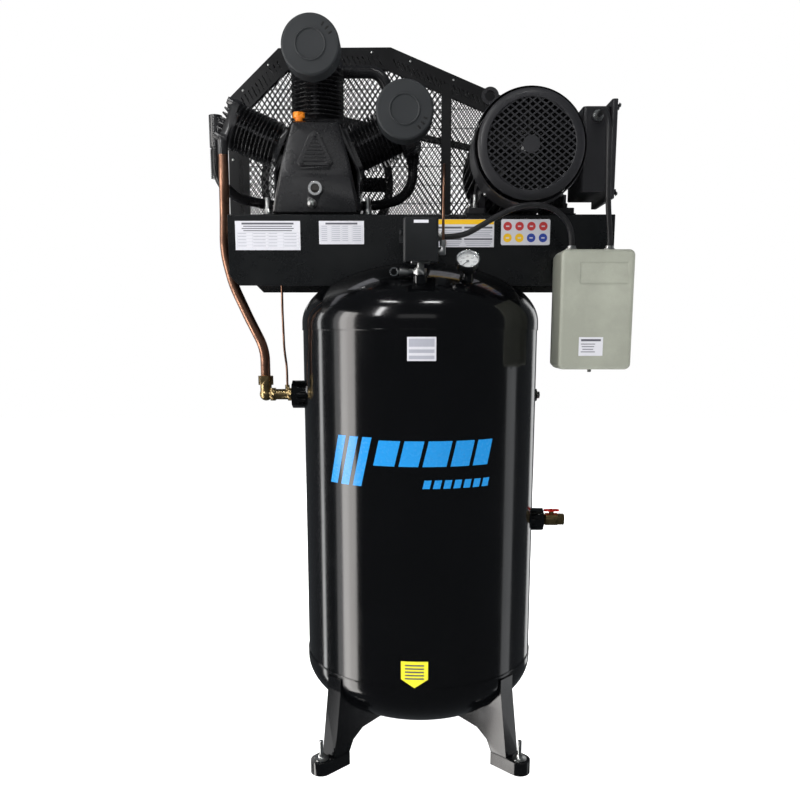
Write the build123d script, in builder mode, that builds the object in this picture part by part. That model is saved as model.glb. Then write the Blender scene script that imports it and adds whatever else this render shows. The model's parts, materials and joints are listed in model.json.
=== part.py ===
"""Vertical tank air compressor: an 80 gallon receiver on four bent legs, a deck, a three
cylinder two-stage pump, a fan cooled motor, a belt drive in a mesh guard and its controls.

Millimetres.  Z is up, the controls face -Y, and the origin is on the floor under the tank.
"""

from build123d import *
import os
from math import asin, cos, degrees, hypot, radians, sin, sqrt, tan

os.makedirs("parts", exist_ok=True)

# ---------------------------------------------------------------- driving dimensions
TANK_R = 304.8
HEAD_R = 306.8
HEAD_DEPTH = HEAD_R / 2
HEAD_SKIRT = 16
WALL = 4
SEAM_LOW = 245
SEAM_HIGH = 1112
GAP = 0.3

FOOT_R = 356
FOOT_PAD_R = 27
FOOT_H = 34

DECK_X = 473
DECK_FRONT = -110
DECK_BACK = 245
DECK_TOP = 1388
DECK_LOW = 1218
SHEET = 5

PUMP_X = -262
CRANK_Z = 1526
PUMP_Y = 35
BANK_ANGLE = 66
ROD_PITCH = 26
THROW = 30
ROD_LENGTH = 162
PAD_D = 91
BARREL_TOP = 222
LP_BORE = 42.5
HP_BORE = 32.5
PIN_R = 9
CROWN = 26
SKIRT = 24
JOURNAL_R = 20
RUN_FIT = 0.05

MOTOR_X = 250
MOTOR_Z = 1530
MOTOR_SHAFT_R = 19
COVER_R = 132

WHEEL_R = 190
PULLEY_R = 82
BELT_W = 15
BELT_Y = (280, 306)
BELT_DEPTH = 11
DRIVE_FRONT = 268
DRIVE_BACK = 318

GUARD_FRONT = 250
GUARD_BACK = 340

OUTLET_Z = 599
CHECK_Z = 941
NPT_HALF_R = 9.15

SWITCH_X = -5
SWITCH_Y = -238
GAUGE_TILT = 38


def save(piece, name):
    """Label a finished piece and write its STEP file."""
    piece.part.label = name
    export_step(piece.part, f"parts/{name}.step")


def cross_plane(x, y, z):
    """A sketch plane square to Y whose normal looks along +Y, with +X right and Z up."""
    return Plane(origin=(x, y, z), x_dir=(1, 0, 0), z_dir=(0, 1, 0))


def side_plane(x, y, z, direction=1):
    """A sketch plane square to X, facing +X or -X, with its own second axis upwards."""
    return Plane(origin=(x, y, z), x_dir=(0, direction, 0), z_dir=(direction, 0, 0))


def bank_plane(angle, distance, y):
    """A plane square to a cylinder's axis, at a distance from the crank."""
    lean = radians(angle)
    centre = (PUMP_X + distance * sin(lean), y, CRANK_Z + distance * cos(lean))
    return Plane(origin=centre, x_dir=(0, 1, 0), z_dir=(sin(lean), 0, cos(lean)))


def bank_point(angle, distance, across):
    """X and Z of a point at a distance along a bank and across it, upwards positive."""
    lean = radians(angle)
    side = 1 if angle > 0 else -1
    x = PUMP_X + distance * sin(lean) - side * across * cos(lean)
    return x, CRANK_Z + distance * cos(lean) + abs(sin(lean)) * across


# ---------------------------------------------------------------- the receiver
TANK_MIDDLE = Plane.XY.offset((SEAM_LOW + SEAM_HIGH) / 2)
HEAD_TANGENT = SEAM_LOW - HEAD_SKIRT

with BuildPart() as tank_envelope:
    with BuildSketch(Plane.XZ):
        with BuildLine():
            EllipticalCenterArc(
                (0, HEAD_TANGENT), HEAD_R + GAP, HEAD_DEPTH + GAP, -90, arc_size=90
            )
            Polyline(
                (HEAD_R + GAP, HEAD_TANGENT),
                (HEAD_R + GAP, SEAM_LOW),
                (TANK_R + GAP, SEAM_LOW),
                (TANK_R + GAP, (SEAM_LOW + SEAM_HIGH) / 2),
                (0, (SEAM_LOW + SEAM_HIGH) / 2),
                (0, HEAD_TANGENT - HEAD_DEPTH - GAP),
            )
        make_face()
    revolve(axis=Axis.Z)
    mirror(about=TANK_MIDDLE)

with BuildPart() as tank_shell:
    with BuildSketch(Plane.XY.offset(SEAM_LOW)):
        Circle(TANK_R)
        Circle(TANK_R - WALL, mode=Mode.SUBTRACT)
    extrude(amount=SEAM_HIGH - SEAM_LOW)
save(tank_shell, "tank_shell")

with BuildPart() as tank_head_bottom:
    with BuildSketch(Plane.XZ):
        with BuildLine():
            EllipticalCenterArc((0, HEAD_TANGENT), HEAD_R, HEAD_DEPTH, -90, arc_size=90)
            EllipticalCenterArc(
                (0, HEAD_TANGENT), HEAD_R - WALL, HEAD_DEPTH - WALL, -90, arc_size=90
            )
            Polyline(
                (HEAD_R, HEAD_TANGENT),
                (HEAD_R, SEAM_LOW),
                (HEAD_R - WALL, SEAM_LOW),
                (HEAD_R - WALL, HEAD_TANGENT),
            )
            crest = HEAD_TANGENT - HEAD_DEPTH
            Line((0, crest), (0, crest + WALL))
        make_face()
    revolve(axis=Axis.Z)
save(tank_head_bottom, "tank_head_bottom")

with BuildPart() as tank_head_top:
    mirror(tank_head_bottom.part, about=TANK_MIDDLE)
save(tank_head_top, "tank_head_top")

# Four legs bent from sheet: a web, two side plates that follow the head, and a hollow foot.
with BuildPart() as legs:
    for angle in (45, 135, 225, 315):
        turned = Plane.XZ.rotated((0, 0, angle))
        with BuildSketch(turned):
            with BuildLine():
                Polyline(
                    (332, FOOT_H - 4),
                    (316, 160),
                    (310.5, 205),
                    (310.5, 238),
                    (200, 238),
                    (150, 100),
                    (170, 92),
                    (235, 84),
                    (268, 62),
                    (284, FOOT_H - 4),
                    close=True,
                )
            make_face()
        extrude(amount=24, both=True)
        with BuildSketch(turned):
            with BuildLine():
                Polyline(
                    (327.5, 0),
                    (311.5, 160),
                    (306, 205),
                    (306, 300),
                    (100, 300),
                    (100, 0),
                    close=True,
                )
            make_face()
        extrude(amount=20, both=True, mode=Mode.SUBTRACT)
    add(tank_envelope.part, mode=Mode.SUBTRACT)
    with BuildSketch(Plane.XY):
        for angle in (45, 135, 225, 315):
            with Locations(Location((0, 0, 0), (0, 0, angle))):
                with Locations((FOOT_R, 0)):
                    Circle(FOOT_PAD_R)
                with Locations(((FOOT_R + 284) / 2, 0)):
                    Rectangle(FOOT_R - 284, 2 * FOOT_PAD_R)
    extrude(amount=FOOT_H)
    with BuildSketch(Plane.XY):
        for angle in (45, 135, 225, 315):
            with Locations(Location((0, 0, 0), (0, 0, angle))):
                with Locations((FOOT_R, 0)):
                    Circle(FOOT_PAD_R - WALL)
                with Locations(((FOOT_R + 288) / 2, 0)):
                    Rectangle(FOOT_R - 288, 2 * (FOOT_PAD_R - WALL))
    extrude(amount=FOOT_H - WALL, mode=Mode.SUBTRACT)
    with PolarLocations(FOOT_R, 4, start_angle=45):
        Hole(6.5, depth=100)
save(legs, "legs")

with BuildPart() as foot_bolts:
    with BuildSketch(Plane.XY):
        with PolarLocations(FOOT_R, 4, start_angle=45):
            Circle(5)
    extrude(amount=83)
    with BuildSketch(Plane.XY.offset(FOOT_H)):
        with PolarLocations(FOOT_R, 4, start_angle=45):
            Circle(18)
    extrude(amount=3)
    with BuildSketch(Plane.XY.offset(FOOT_H + 3)):
        with PolarLocations(FOOT_R, 4, start_angle=45):
            RegularPolygon(9.8, 6)
    extrude(amount=9)
save(foot_bolts, "foot_bolts")

# Welded ports: discharge, outlet and spare on the sides, two on the top head, one below.
SIDE_PORTS = ((-1, CHECK_Z, 34, 338), (1, OUTLET_Z, 29, 338), (1, CHECK_Z - 2, 15, 312))
TOP_PORTS = ((SWITCH_X, SWITCH_Y, 17, 1232), (105, -205, 16, 1238))
with BuildPart() as tank_ports:
    for side, height, radius, reach in SIDE_PORTS:
        with BuildSketch(side_plane(side * 280, 0, height, side)):
            RegularPolygon(radius, 8, major_radius=False)
        extrude(amount=reach - 280)
    for x, y, radius, top in TOP_PORTS:
        with BuildSketch(Plane.XY.offset(1180)):
            with Locations((x, y)):
                Circle(radius)
        extrude(amount=top - 1180)
    add(tank_envelope.part, mode=Mode.SUBTRACT)
    with BuildSketch(Plane.XY.offset(62)):
        Circle(17)
    extrude(amount=HEAD_TANGENT - HEAD_DEPTH - 62)
save(tank_ports, "tank_ports")

with BuildPart() as tank_plugs:
    with BuildSketch(side_plane(312, 0, CHECK_Z - 2)):
        RegularPolygon(9, 4)
    extrude(amount=8)
    with BuildSketch(Plane.XY.offset(52)):
        RegularPolygon(10, 4)
    extrude(amount=10)
save(tank_plugs, "tank_plugs")

# ---------------------------------------------------------------- the deck
PUMP_BOLTS = [(PUMP_X + dx, PUMP_Y + 15 + dy) for dx in (-128, 128) for dy in (-62, 62)]
MOTOR_BOLTS = [(MOTOR_X + dx, 60 + dy) for dx in (-112, 112) for dy in (-89, 89)]

with BuildPart() as deck:
    with BuildSketch(Plane.XY.offset(DECK_TOP - SHEET)):
        with Locations((0, (DECK_FRONT + DECK_BACK) / 2)):
            Rectangle(2 * DECK_X, DECK_BACK - DECK_FRONT)
    extrude(amount=SHEET)
    for face_y in (DECK_FRONT, DECK_BACK - SHEET):
        with BuildSketch(cross_plane(0, face_y, 0)):
            with BuildLine():
                Polyline(
                    (-DECK_X, -DECK_TOP),
                    (-DECK_X, -DECK_LOW - 24),
                    (-DECK_X + 24, -DECK_LOW),
                    (DECK_X - 24, -DECK_LOW),
                    (DECK_X, -DECK_LOW - 24),
                    (DECK_X, -DECK_TOP),
                    close=True,
                )
            make_face()
        extrude(amount=SHEET)
    for side in (-1, 1):
        with BuildSketch(Plane.XY.offset(DECK_TOP - 42)):
            with Locations((side * (DECK_X - SHEET / 2), (DECK_FRONT + DECK_BACK) / 2)):
                Rectangle(SHEET, DECK_BACK - DECK_FRONT)
        extrude(amount=40)
        # Saddle plates stand on the top head and carry the deck.
        with BuildSketch(Plane.XY.offset(1150)):
            with Locations((side * 170, 105)):
                Rectangle(8, 250)
        extrude(amount=DECK_TOP - 1150)
        # Slide rails under the motor's feet.
        with BuildSketch(Plane.XY.offset(DECK_TOP)):
            with Locations((MOTOR_X + side * 108, 60)):
                Rectangle(60, 230)
        extrude(amount=10)
    front_top = deck.edges().filter_by(Axis.X).group_by(Axis.Y)[0].sort_by(Axis.Z)[-1]
    fillet(front_top, 4)
    add(tank_envelope.part, mode=Mode.SUBTRACT)
    with Locations((56, -60, DECK_TOP)):
        Hole(8, depth=SHEET)
    with Locations(*[(x, y, DECK_TOP) for x, y in PUMP_BOLTS]):
        Hole(6.2, depth=SHEET)
    with Locations(*[(x, y, DECK_TOP + 10) for x, y in MOTOR_BOLTS]):
        Hole(6.2, depth=SHEET + 10)
save(deck, "deck")

# ---------------------------------------------------------------- the pump's crankcase
CASE_FRONT = -20
CASE_BACK = 122
CASE_WALL = 9
BASE_Z = DECK_TOP + 12
FOOT_HALF = 110
BANKS = (
    ("left", -BANK_ANGLE, PUMP_Y - ROD_PITCH, HP_BORE),
    ("middle", 0, PUMP_Y, LP_BORE),
    ("right", BANK_ANGLE, PUMP_Y + ROD_PITCH, LP_BORE),
)
SHOULDER = PAD_D * tan(radians(BANK_ANGLE / 2))
PAD_LOW = bank_point(BANK_ANGLE, PAD_D, -64)


def case_outline(shrink):
    """The crankcase's section around the crank, drawn inwards by a wall."""
    low_x = PAD_LOW[0] - PUMP_X - shrink
    points = [
        (-low_x, BASE_Z - CRANK_Z + shrink),
        (-low_x, PAD_LOW[1] - CRANK_Z),
        (-SHOULDER + shrink * 0.65, PAD_D - shrink),
        (SHOULDER - shrink * 0.65, PAD_D - shrink),
        (low_x, PAD_LOW[1] - CRANK_Z),
        (low_x, BASE_Z - CRANK_Z + shrink),
    ]
    return [(PUMP_X + x, -(CRANK_Z + z)) for x, z in points]


with BuildPart() as crankcase:
    with BuildSketch(cross_plane(0, CASE_FRONT, 0)):
        with BuildLine():
            Polyline(*case_outline(0), close=True)
        make_face()
    extrude(amount=CASE_BACK - CASE_FRONT)
    with BuildSketch(cross_plane(PUMP_X, CASE_BACK - CASE_WALL, CRANK_Z)):
        Circle(52)
    extrude(amount=180 - CASE_BACK + CASE_WALL)
    with BuildSketch(cross_plane(0, CASE_FRONT, 0)):
        with BuildLine():
            Polyline(*case_outline(CASE_WALL), close=True)
        make_face()
    extrude(amount=CASE_BACK - CASE_FRONT - CASE_WALL, mode=Mode.SUBTRACT)
    with BuildSketch(cross_plane(PUMP_X, 100, CRANK_Z)):
        Circle(40)
    extrude(amount=81, mode=Mode.SUBTRACT)
    for name, angle, y, bore in BANKS:
        with BuildSketch(bank_plane(angle, PAD_D - 30, y)):
            Circle(bore + 1.5)
        extrude(amount=40, mode=Mode.SUBTRACT)
    with BuildSketch(Plane.XY.offset(DECK_TOP)):
        with Locations((PUMP_X, PUMP_Y + 15)):
            RectangleRounded(2 * 144, 156, 12)
    extrude(amount=12)
    with Locations(*[(x, y, BASE_Z) for x, y in PUMP_BOLTS]):
        Hole(6.2, depth=12)
save(crankcase, "crankcase")

COVER_DEPTH = 40
COVER_TOP = 58
with BuildPart() as crankcase_cover:
    with BuildSketch(cross_plane(0, CASE_FRONT - COVER_DEPTH, 0)) as cover_face:
        with BuildLine():
            Polyline(
                (PUMP_X - FOOT_HALF, -BASE_Z),
                (PUMP_X - 84, -CRANK_Z + 2),
                (PUMP_X - COVER_TOP, -CRANK_Z - PAD_D),
                (PUMP_X + COVER_TOP, -CRANK_Z - PAD_D),
                (PUMP_X + 84, -CRANK_Z + 2),
                (PUMP_X + FOOT_HALF, -BASE_Z),
                close=True,
            )
        make_face()
        fillet(cover_face.vertices().group_by(Axis.Y)[0], 8)
    extrude(amount=COVER_DEPTH)
    front_rim = crankcase_cover.faces().sort_by(Axis.Y)[0].edges()
    chamfer(front_rim, 7)
    with BuildSketch(cross_plane(0, CASE_FRONT - COVER_DEPTH + 10, 0)):
        with BuildLine():
            Polyline(
                (PUMP_X - 92, -BASE_Z - 9),
                (PUMP_X - 70, -CRANK_Z),
                (PUMP_X - 46, -CRANK_Z - PAD_D + 12),
                (PUMP_X + 46, -CRANK_Z - PAD_D + 12),
                (PUMP_X + 70, -CRANK_Z),
                (PUMP_X + 92, -BASE_Z - 9),
                close=True,
            )
        make_face()
    extrude(amount=COVER_DEPTH, mode=Mode.SUBTRACT)
    # A ledge across the lower front, a raised panel of ribs, and the two bosses.
    with BuildSketch(cross_plane(0, CASE_FRONT - COVER_DEPTH - 5, 0)):
        with BuildLine():
            Polyline(
                (PUMP_X - 102, -BASE_Z),
                (PUMP_X - 85, -1484),
                (PUMP_X + 85, -1484),
                (PUMP_X + 102, -BASE_Z),
                close=True,
            )
        make_face()
    extrude(amount=8)
    with BuildSketch(cross_plane(0, CASE_FRONT - COVER_DEPTH - 4, 0)):
        with Locations((PUMP_X, -1541)):
            Trapezoid(76, 78, 76, rotation=180)
        with Locations((PUMP_X, -1541)):
            Trapezoid(62, 64, 76, rotation=180, mode=Mode.SUBTRACT)
    extrude(amount=6)
    for rib in range(5):
        with BuildSketch(cross_plane(PUMP_X, CASE_FRONT - COVER_DEPTH - 3, 1515 + 12 * rib)):
            Rectangle(50 - 5 * rib, 5)
        extrude(amount=5)
    with BuildSketch(cross_plane(PUMP_X, CASE_FRONT - COVER_DEPTH - 8, 1455)):
        Circle(20)
    extrude(amount=12)
    with BuildSketch(cross_plane(PUMP_X - 8, CASE_FRONT - COVER_DEPTH - 8, 1419)):
        Circle(13)
    extrude(amount=12)
save(crankcase_cover, "crankcase_cover")

SIGHT_Y = CASE_FRONT - COVER_DEPTH - 8
with BuildPart() as sight_glass_ring:
    with BuildSketch(cross_plane(PUMP_X, SIGHT_Y - 7, 1455)):
        Circle(17)
        Circle(11, mode=Mode.SUBTRACT)
    extrude(amount=7)
save(sight_glass_ring, "sight_glass_ring")

with BuildPart() as sight_glass_lens:
    with BuildSketch(cross_plane(PUMP_X, SIGHT_Y - 4, 1455)):
        Circle(11)
    extrude(amount=4)
save(sight_glass_lens, "sight_glass_lens")

with BuildPart() as oil_drain_plug:
    with BuildSketch(cross_plane(PUMP_X - 8, SIGHT_Y - 4, 1419)):
        Circle(11)
    extrude(amount=4)
    with BuildSketch(cross_plane(PUMP_X - 8, SIGHT_Y - 12, 1419)):
        RegularPolygon(8, 6)
    extrude(amount=8)
save(oil_drain_plug, "oil_drain_plug")

with BuildPart() as filler_plug:
    with BuildSketch(Plane(origin=(PUMP_X - 40, CASE_FRONT - 22, CRANK_Z + PAD_D), z_dir=(0, 0, 1))):
        Circle(9)
    extrude(amount=9)
    with BuildSketch(Plane.XY.offset(CRANK_Z + PAD_D + 9)):
        with Locations((PUMP_X - 40, CASE_FRONT - 22)):
            RegularPolygon(15, 8)
    extrude(amount=12)
save(filler_plug, "filler_plug")

# ---------------------------------------------------------------- cylinders and heads
FINS = 11
for name, angle, y, bore in BANKS:
    fin_r = bore + 24
    flange = 116 if bore == LP_BORE else 92
    with BuildPart() as cylinder:
        with BuildSketch(bank_plane(angle, PAD_D, y)):
            RectangleRounded(flange, flange, 10)
        extrude(amount=12)
        with BuildSketch(bank_plane(angle, PAD_D, y)):
            Circle(bore + 9)
        extrude(amount=BARREL_TOP - PAD_D)
        for fin in range(FINS):
            thick = 8 if fin == FINS - 1 else 2.6
            with BuildSketch(bank_plane(angle, 113 + fin * 10.1, y)):
                Circle(fin_r)
            extrude(amount=min(thick, BARREL_TOP - 113 - fin * 10.1))
        with BuildSketch(bank_plane(angle, PAD_D + 12, y)):
            with Locations((-(bore + 15), 0)):
                Rectangle(14, 7)
        extrude(amount=BARREL_TOP - PAD_D - 12)
        with BuildSketch(bank_plane(angle, PAD_D - 1, y)):
            Circle(bore)
        extrude(amount=BARREL_TOP - PAD_D + 2, mode=Mode.SUBTRACT)
    save(cylinder, f"cylinder_{name}")

    half = 66 if bore == LP_BORE else 56
    top = 262 if bore == LP_BORE else 256
    with BuildPart() as head:
        with BuildSketch(bank_plane(angle, BARREL_TOP, y)):
            RectangleRounded(2 * half, 2 * half, 22)
        extrude(amount=top - BARREL_TOP - 16)
        with BuildSketch(bank_plane(angle, top - 17, y)):
            with GridLocations(0, 2 * (half - 6) / 8, 1, 9):
                RectangleRounded(2 * half - 16, 4, 1.5)
        extrude(amount=17)
        with BuildSketch(bank_plane(angle, BARREL_TOP + 3, y)):
            with GridLocations(2 * half - 24, 2 * half - 24, 2, 2):
                RegularPolygon(9, 6)
        extrude(amount=top - BARREL_TOP - 4)
        if name == "left":
            with BuildSketch(Plane.XY.offset(1572)):
                with Locations((-524, 30)):
                    Circle(17)
            extrude(amount=78)
            with BuildSketch(side_plane(-524, 30, 1628)):
                Circle(15)
            extrude(amount=34)
            with BuildSketch(Plane.XY.offset(1542)):
                with Locations((-495, -30)):
                    Circle(13)
            extrude(amount=35)
        if name == "right":
            with BuildSketch(Plane.XY.offset(1545)):
                with Locations((-18, 103)):
                    Circle(17)
            extrude(amount=28)
    save(head, f"head_{name}")

FILTER_R = 69
FILTER_FRONT = -130
for name, angle, y in (("middle", 0, PUMP_Y), ("right", BANK_ANGLE, PUMP_Y + ROD_PITCH)):
    x, z = bank_point(angle, 242, 0)
    with BuildPart() as air_filter:
        with BuildSketch(cross_plane(x, FILTER_FRONT, z)):
            Circle(FILTER_R)
        extrude(amount=58)
        fillet(air_filter.edges().filter_by(GeomType.CIRCLE), 6)
        with BuildSketch(cross_plane(x, FILTER_FRONT - 2, z)):
            Circle(37)
            Circle(33, mode=Mode.SUBTRACT)
        extrude(amount=4)
        with BuildSketch(cross_plane(x, FILTER_FRONT + 56, z)):
            Circle(15)
        extrude(amount=y - 66 - FILTER_FRONT - 56)
    save(air_filter, f"air_filter_{name}")


def pipe_length(route, radii):
    """Length of straight runs joined by tangent arcs."""
    points = [Vector(*p) for p in route]
    total = sum((b - a).length for a, b in zip(points, points[1:]))
    for before, corner, after, radius in zip(points, points[1:], points[2:], radii):
        turn = radians((corner - before).get_angle(after - corner))
        total += radius * (turn - 2 * tan(turn / 2))
    return total


def route_radii(route, share=0.45):
    """The largest arc that each corner's two runs allow."""
    points = [Vector(*p) for p in route]
    radii = []
    for before, corner, after in zip(points, points[1:], points[2:]):
        turn = radians((corner - before).get_angle(after - corner))
        shorter = min((corner - before).length, (after - corner).length)
        radii.append(share * shorter / tan(turn / 2))
    return radii


def tube(name, route, radius, radii):
    """Sweep a round tube along a route and compare its volume with section times length."""
    with BuildPart() as pipe:
        with BuildLine() as line:
            FilletPolyline(*route, radius=radii)
        with BuildSketch(Plane(origin=line.line @ 0, z_dir=line.line % 0)):
            Circle(radius)
        sweep()
    length = pipe_length(route, radii)
    ratio = pipe.part.volume / (3.14159265 * radius**2 * length)
    print(name, "length", round(length), "volume ratio", round(ratio, 4))
    print("   radii", [round(r) for r in radii])
    save(pipe, name)


head_side = bank_point(BANK_ANGLE, 242, 66)
head_away = bank_point(BANK_ANGLE, 242, 150)
HEADER = [
    (PUMP_X + 66, 54, head_away[1]),
    (head_away[0], 54, head_away[1]),
    (head_side[0], 54, head_side[1]),
]
tube("header_pipe", HEADER, 15, [46])

COOLER = [
    (-524, 30, 1572),
    (-524, 30, 1490),
    (-484, 90, 1456),
    (-410, 165, 1450),
    (-262, 168, 1446),
    (-110, 165, 1450),
    (-46, 135, 1462),
    (-18, 103, 1500),
    (-18, 103, 1545),
]
tube("intercooler_pipe", COOLER, 13, [min(r, 90) for r in route_radii(COOLER)])

DISCHARGE = [
    (-495, -30, 1542),
    (-495, -30, 1470),
    (-499, -18, 1395),
    (-505, -6, 1310),
    (-486, 0, 1225),
    (-448, 0, 1140),
    (-409, 0, 1060),
    (-409, 0, 990),
]
tube("discharge_tube", DISCHARGE, 12.7, [min(r, 240) for r in route_radii(DISCHARGE)])

UNLOADER = [
    (46, -258, 1310),
    (46, -258, 1385),
    (47, -246, 1448),
    (50, -200, 1490),
    (54, -130, 1488),
    (56, -78, 1460),
    (56, -60, 1424),
    (56, -60, 1348),
    (10, -60, 1327),
    (-80, -62, 1326),
    (-200, -62, 1328),
    (-310, -60, 1316),
    (-352, -56, 1260),
    (-353, -50, 1160),
    (-353, -34, 1060),
    (-352, 0, 1012),
    (-352, 0, 966),
]
tube("unloader_tube", UNLOADER, 3, [min(r, 90) for r in route_radii(UNLOADER)])

# ---------------------------------------------------------------- crank, rods and pistons
with BuildPart() as crankshaft:
    with BuildSketch(cross_plane(PUMP_X, 90, CRANK_Z)):
        Circle(JOURNAL_R)
    extrude(amount=240)
    with BuildSketch(cross_plane(PUMP_X, 74, CRANK_Z)):
        Circle(26)
        with Locations((0, -THROW)):
            Circle(20)
        make_hull()
    extrude(amount=16)
    with BuildSketch(cross_plane(PUMP_X, 74, CRANK_Z)):
        Circle(62)
        with Locations((0, -46)):
            Rectangle(124, 92, mode=Mode.SUBTRACT)
    extrude(amount=16)
    with BuildSketch(cross_plane(PUMP_X, 71.5, CRANK_Z)):
        with Locations((0, -THROW)):
            Circle(15)
    extrude(amount=3)
save(crankshaft, "crankshaft")

with BuildPart() as main_bearings:
    for start in (CASE_BACK - CASE_WALL, 160):
        with BuildSketch(cross_plane(PUMP_X, start, CRANK_Z)):
            Circle(40)
            Circle(JOURNAL_R + RUN_FIT, mode=Mode.SUBTRACT)
        extrude(amount=18)
save(main_bearings, "main_bearings")


def grooved_wheel(x, z, rim, web_r, hub):
    """A belt wheel's rim with two square-sided grooves, and its hub."""
    with BuildPart() as wheel:
        with BuildSketch(cross_plane(x, DRIVE_FRONT, z)):
            Circle(rim)
            Circle(web_r, mode=Mode.SUBTRACT)
        extrude(amount=DRIVE_BACK - DRIVE_FRONT)
        for middle in BELT_Y:
            with BuildSketch(cross_plane(x, middle - BELT_W / 2 - GAP, z)):
                Circle(rim + 5)
                Circle(rim - BELT_DEPTH - 1, mode=Mode.SUBTRACT)
            extrude(amount=BELT_W + 2 * GAP, mode=Mode.SUBTRACT)
        with BuildSketch(cross_plane(x, DRIVE_FRONT - 4, z)):
            Circle(hub)
        extrude(amount=DRIVE_BACK - DRIVE_FRONT + 8)
    return wheel.part


with BuildPart() as flywheel:
    add(grooved_wheel(PUMP_X, CRANK_Z, WHEEL_R, WHEEL_R - 22, 38))
    with BuildSketch(cross_plane(PUMP_X, 282, CRANK_Z)):
        with PolarLocations(105, 5):
            Rectangle(140, 38)
    extrude(amount=16)
    with BuildSketch(cross_plane(PUMP_X, DRIVE_FRONT - 5, CRANK_Z)):
        Circle(JOURNAL_R)
    extrude(amount=70, mode=Mode.SUBTRACT)
save(flywheel, "flywheel")

SIDE_ROD_LEAN = degrees(asin(THROW * sin(radians(BANK_ANGLE)) / ROD_LENGTH))
SIDE_PIN = THROW * cos(radians(BANK_ANGLE)) + sqrt(
    ROD_LENGTH**2 - (THROW * sin(radians(BANK_ANGLE))) ** 2
)
print("side wrist pin distance", round(SIDE_PIN, 3), "rod lean", round(SIDE_ROD_LEAN, 3))

for name, angle, y, bore in BANKS:
    pin_d = SIDE_PIN if angle else THROW + ROD_LENGTH
    pin_x, pin_z = bank_point(angle, pin_d, 0)
    crank_x, crank_z = PUMP_X, CRANK_Z + THROW
    with BuildPart() as piston:
        with BuildSketch(bank_plane(angle, pin_d - SKIRT, y)):
            Circle(bore - RUN_FIT)
        extrude(amount=SKIRT + CROWN)
        with BuildSketch(bank_plane(angle, pin_d - SKIRT - 1, y)):
            Rectangle(24, 2 * bore - 14)
        extrude(amount=SKIRT + CROWN - 5, mode=Mode.SUBTRACT)
        for ring in range(3):
            with BuildSketch(bank_plane(angle, pin_d + CROWN - 7 - 5 * ring, y)):
                Circle(bore + 1)
                Circle(bore - 2, mode=Mode.SUBTRACT)
            extrude(amount=1.6, mode=Mode.SUBTRACT)
        with BuildSketch(cross_plane(pin_x, y - 14, pin_z)):
            Circle(PIN_R)
        extrude(amount=28)
    save(piston, f"piston_{name}")

    rod_plane = Plane(
        origin=(pin_x, y - 9, pin_z),
        x_dir=(crank_x - pin_x, 0, crank_z - pin_z),
        z_dir=(0, 1, 0),
    )
    with BuildPart() as con_rod:
        with BuildSketch(rod_plane):
            Circle(14)
            with Locations((ROD_LENGTH, 0)):
                Circle(23)
            with Locations((ROD_LENGTH / 2, 0)):
                Rectangle(ROD_LENGTH - 10, 16)
            Circle(PIN_R + RUN_FIT, mode=Mode.SUBTRACT)
            with Locations((ROD_LENGTH, 0)):
                Circle(15.5, mode=Mode.SUBTRACT)
        extrude(amount=18)
    save(con_rod, f"con_rod_{name}")

# ---------------------------------------------------------------- the motor
FRAME_R = 112
BOX_FACE = MOTOR_X + 136
with BuildPart() as motor_frame:
    with BuildSketch(cross_plane(MOTOR_X, -100, MOTOR_Z)):
        Circle(FRAME_R)
    extrude(amount=280)
    with BuildSketch(cross_plane(MOTOR_X, -78, MOTOR_Z)):
        with PolarLocations(FRAME_R + 6, 40, start_angle=4.5):
            Rectangle(20, 3.2)
    extrude(amount=250)
    with BuildSketch(cross_plane(MOTOR_X, 172, MOTOR_Z)):
        Circle(128)
    extrude(amount=24)
    with BuildSketch(cross_plane(MOTOR_X, 190, MOTOR_Z)):
        Circle(62)
    extrude(amount=34)
    for side in (-1, 1):
        with BuildSketch(Plane.XY.offset(DECK_TOP + 10)):
            with Locations((MOTOR_X + side * 110, 60)):
                RectangleRounded(52, 222, 8)
        extrude(amount=14)
        for web_y in (-5, 125):
            with BuildSketch(Plane.XY.offset(DECK_TOP + 22)):
                with Locations((MOTOR_X + side * 98, web_y)):
                    Rectangle(26, 14)
            extrude(amount=80)
    with BuildSketch(side_plane(MOTOR_X + 100, -25, MOTOR_Z)):
        Rectangle(100, 120)
    extrude(amount=BOX_FACE - MOTOR_X - 100)
    eye = Plane(origin=(MOTOR_X, -60, MOTOR_Z), x_dir=(0, 1, 0), z_dir=(-0.5, 0, 0.866))
    with BuildSketch(eye.offset(100)):
        Circle(14)
    extrude(amount=46)
    with BuildSketch(cross_plane(MOTOR_X - 0.5 * 164, -64, MOTOR_Z + 0.866 * 164)):
        Circle(21)
        Circle(12.5, mode=Mode.SUBTRACT)
    extrude(amount=8)
    with BuildSketch(cross_plane(MOTOR_X, -70, MOTOR_Z)):
        Circle(71.5)
    extrude(amount=230, mode=Mode.SUBTRACT)
    with BuildSketch(cross_plane(MOTOR_X, -110, MOTOR_Z)):
        Circle(MOTOR_SHAFT_R + RUN_FIT)
    extrude(amount=350, mode=Mode.SUBTRACT)
    with Locations(*[(x, y, DECK_TOP + 24) for x, y in MOTOR_BOLTS]):
        Hole(6.2, depth=14)
save(motor_frame, "motor_frame")

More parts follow.
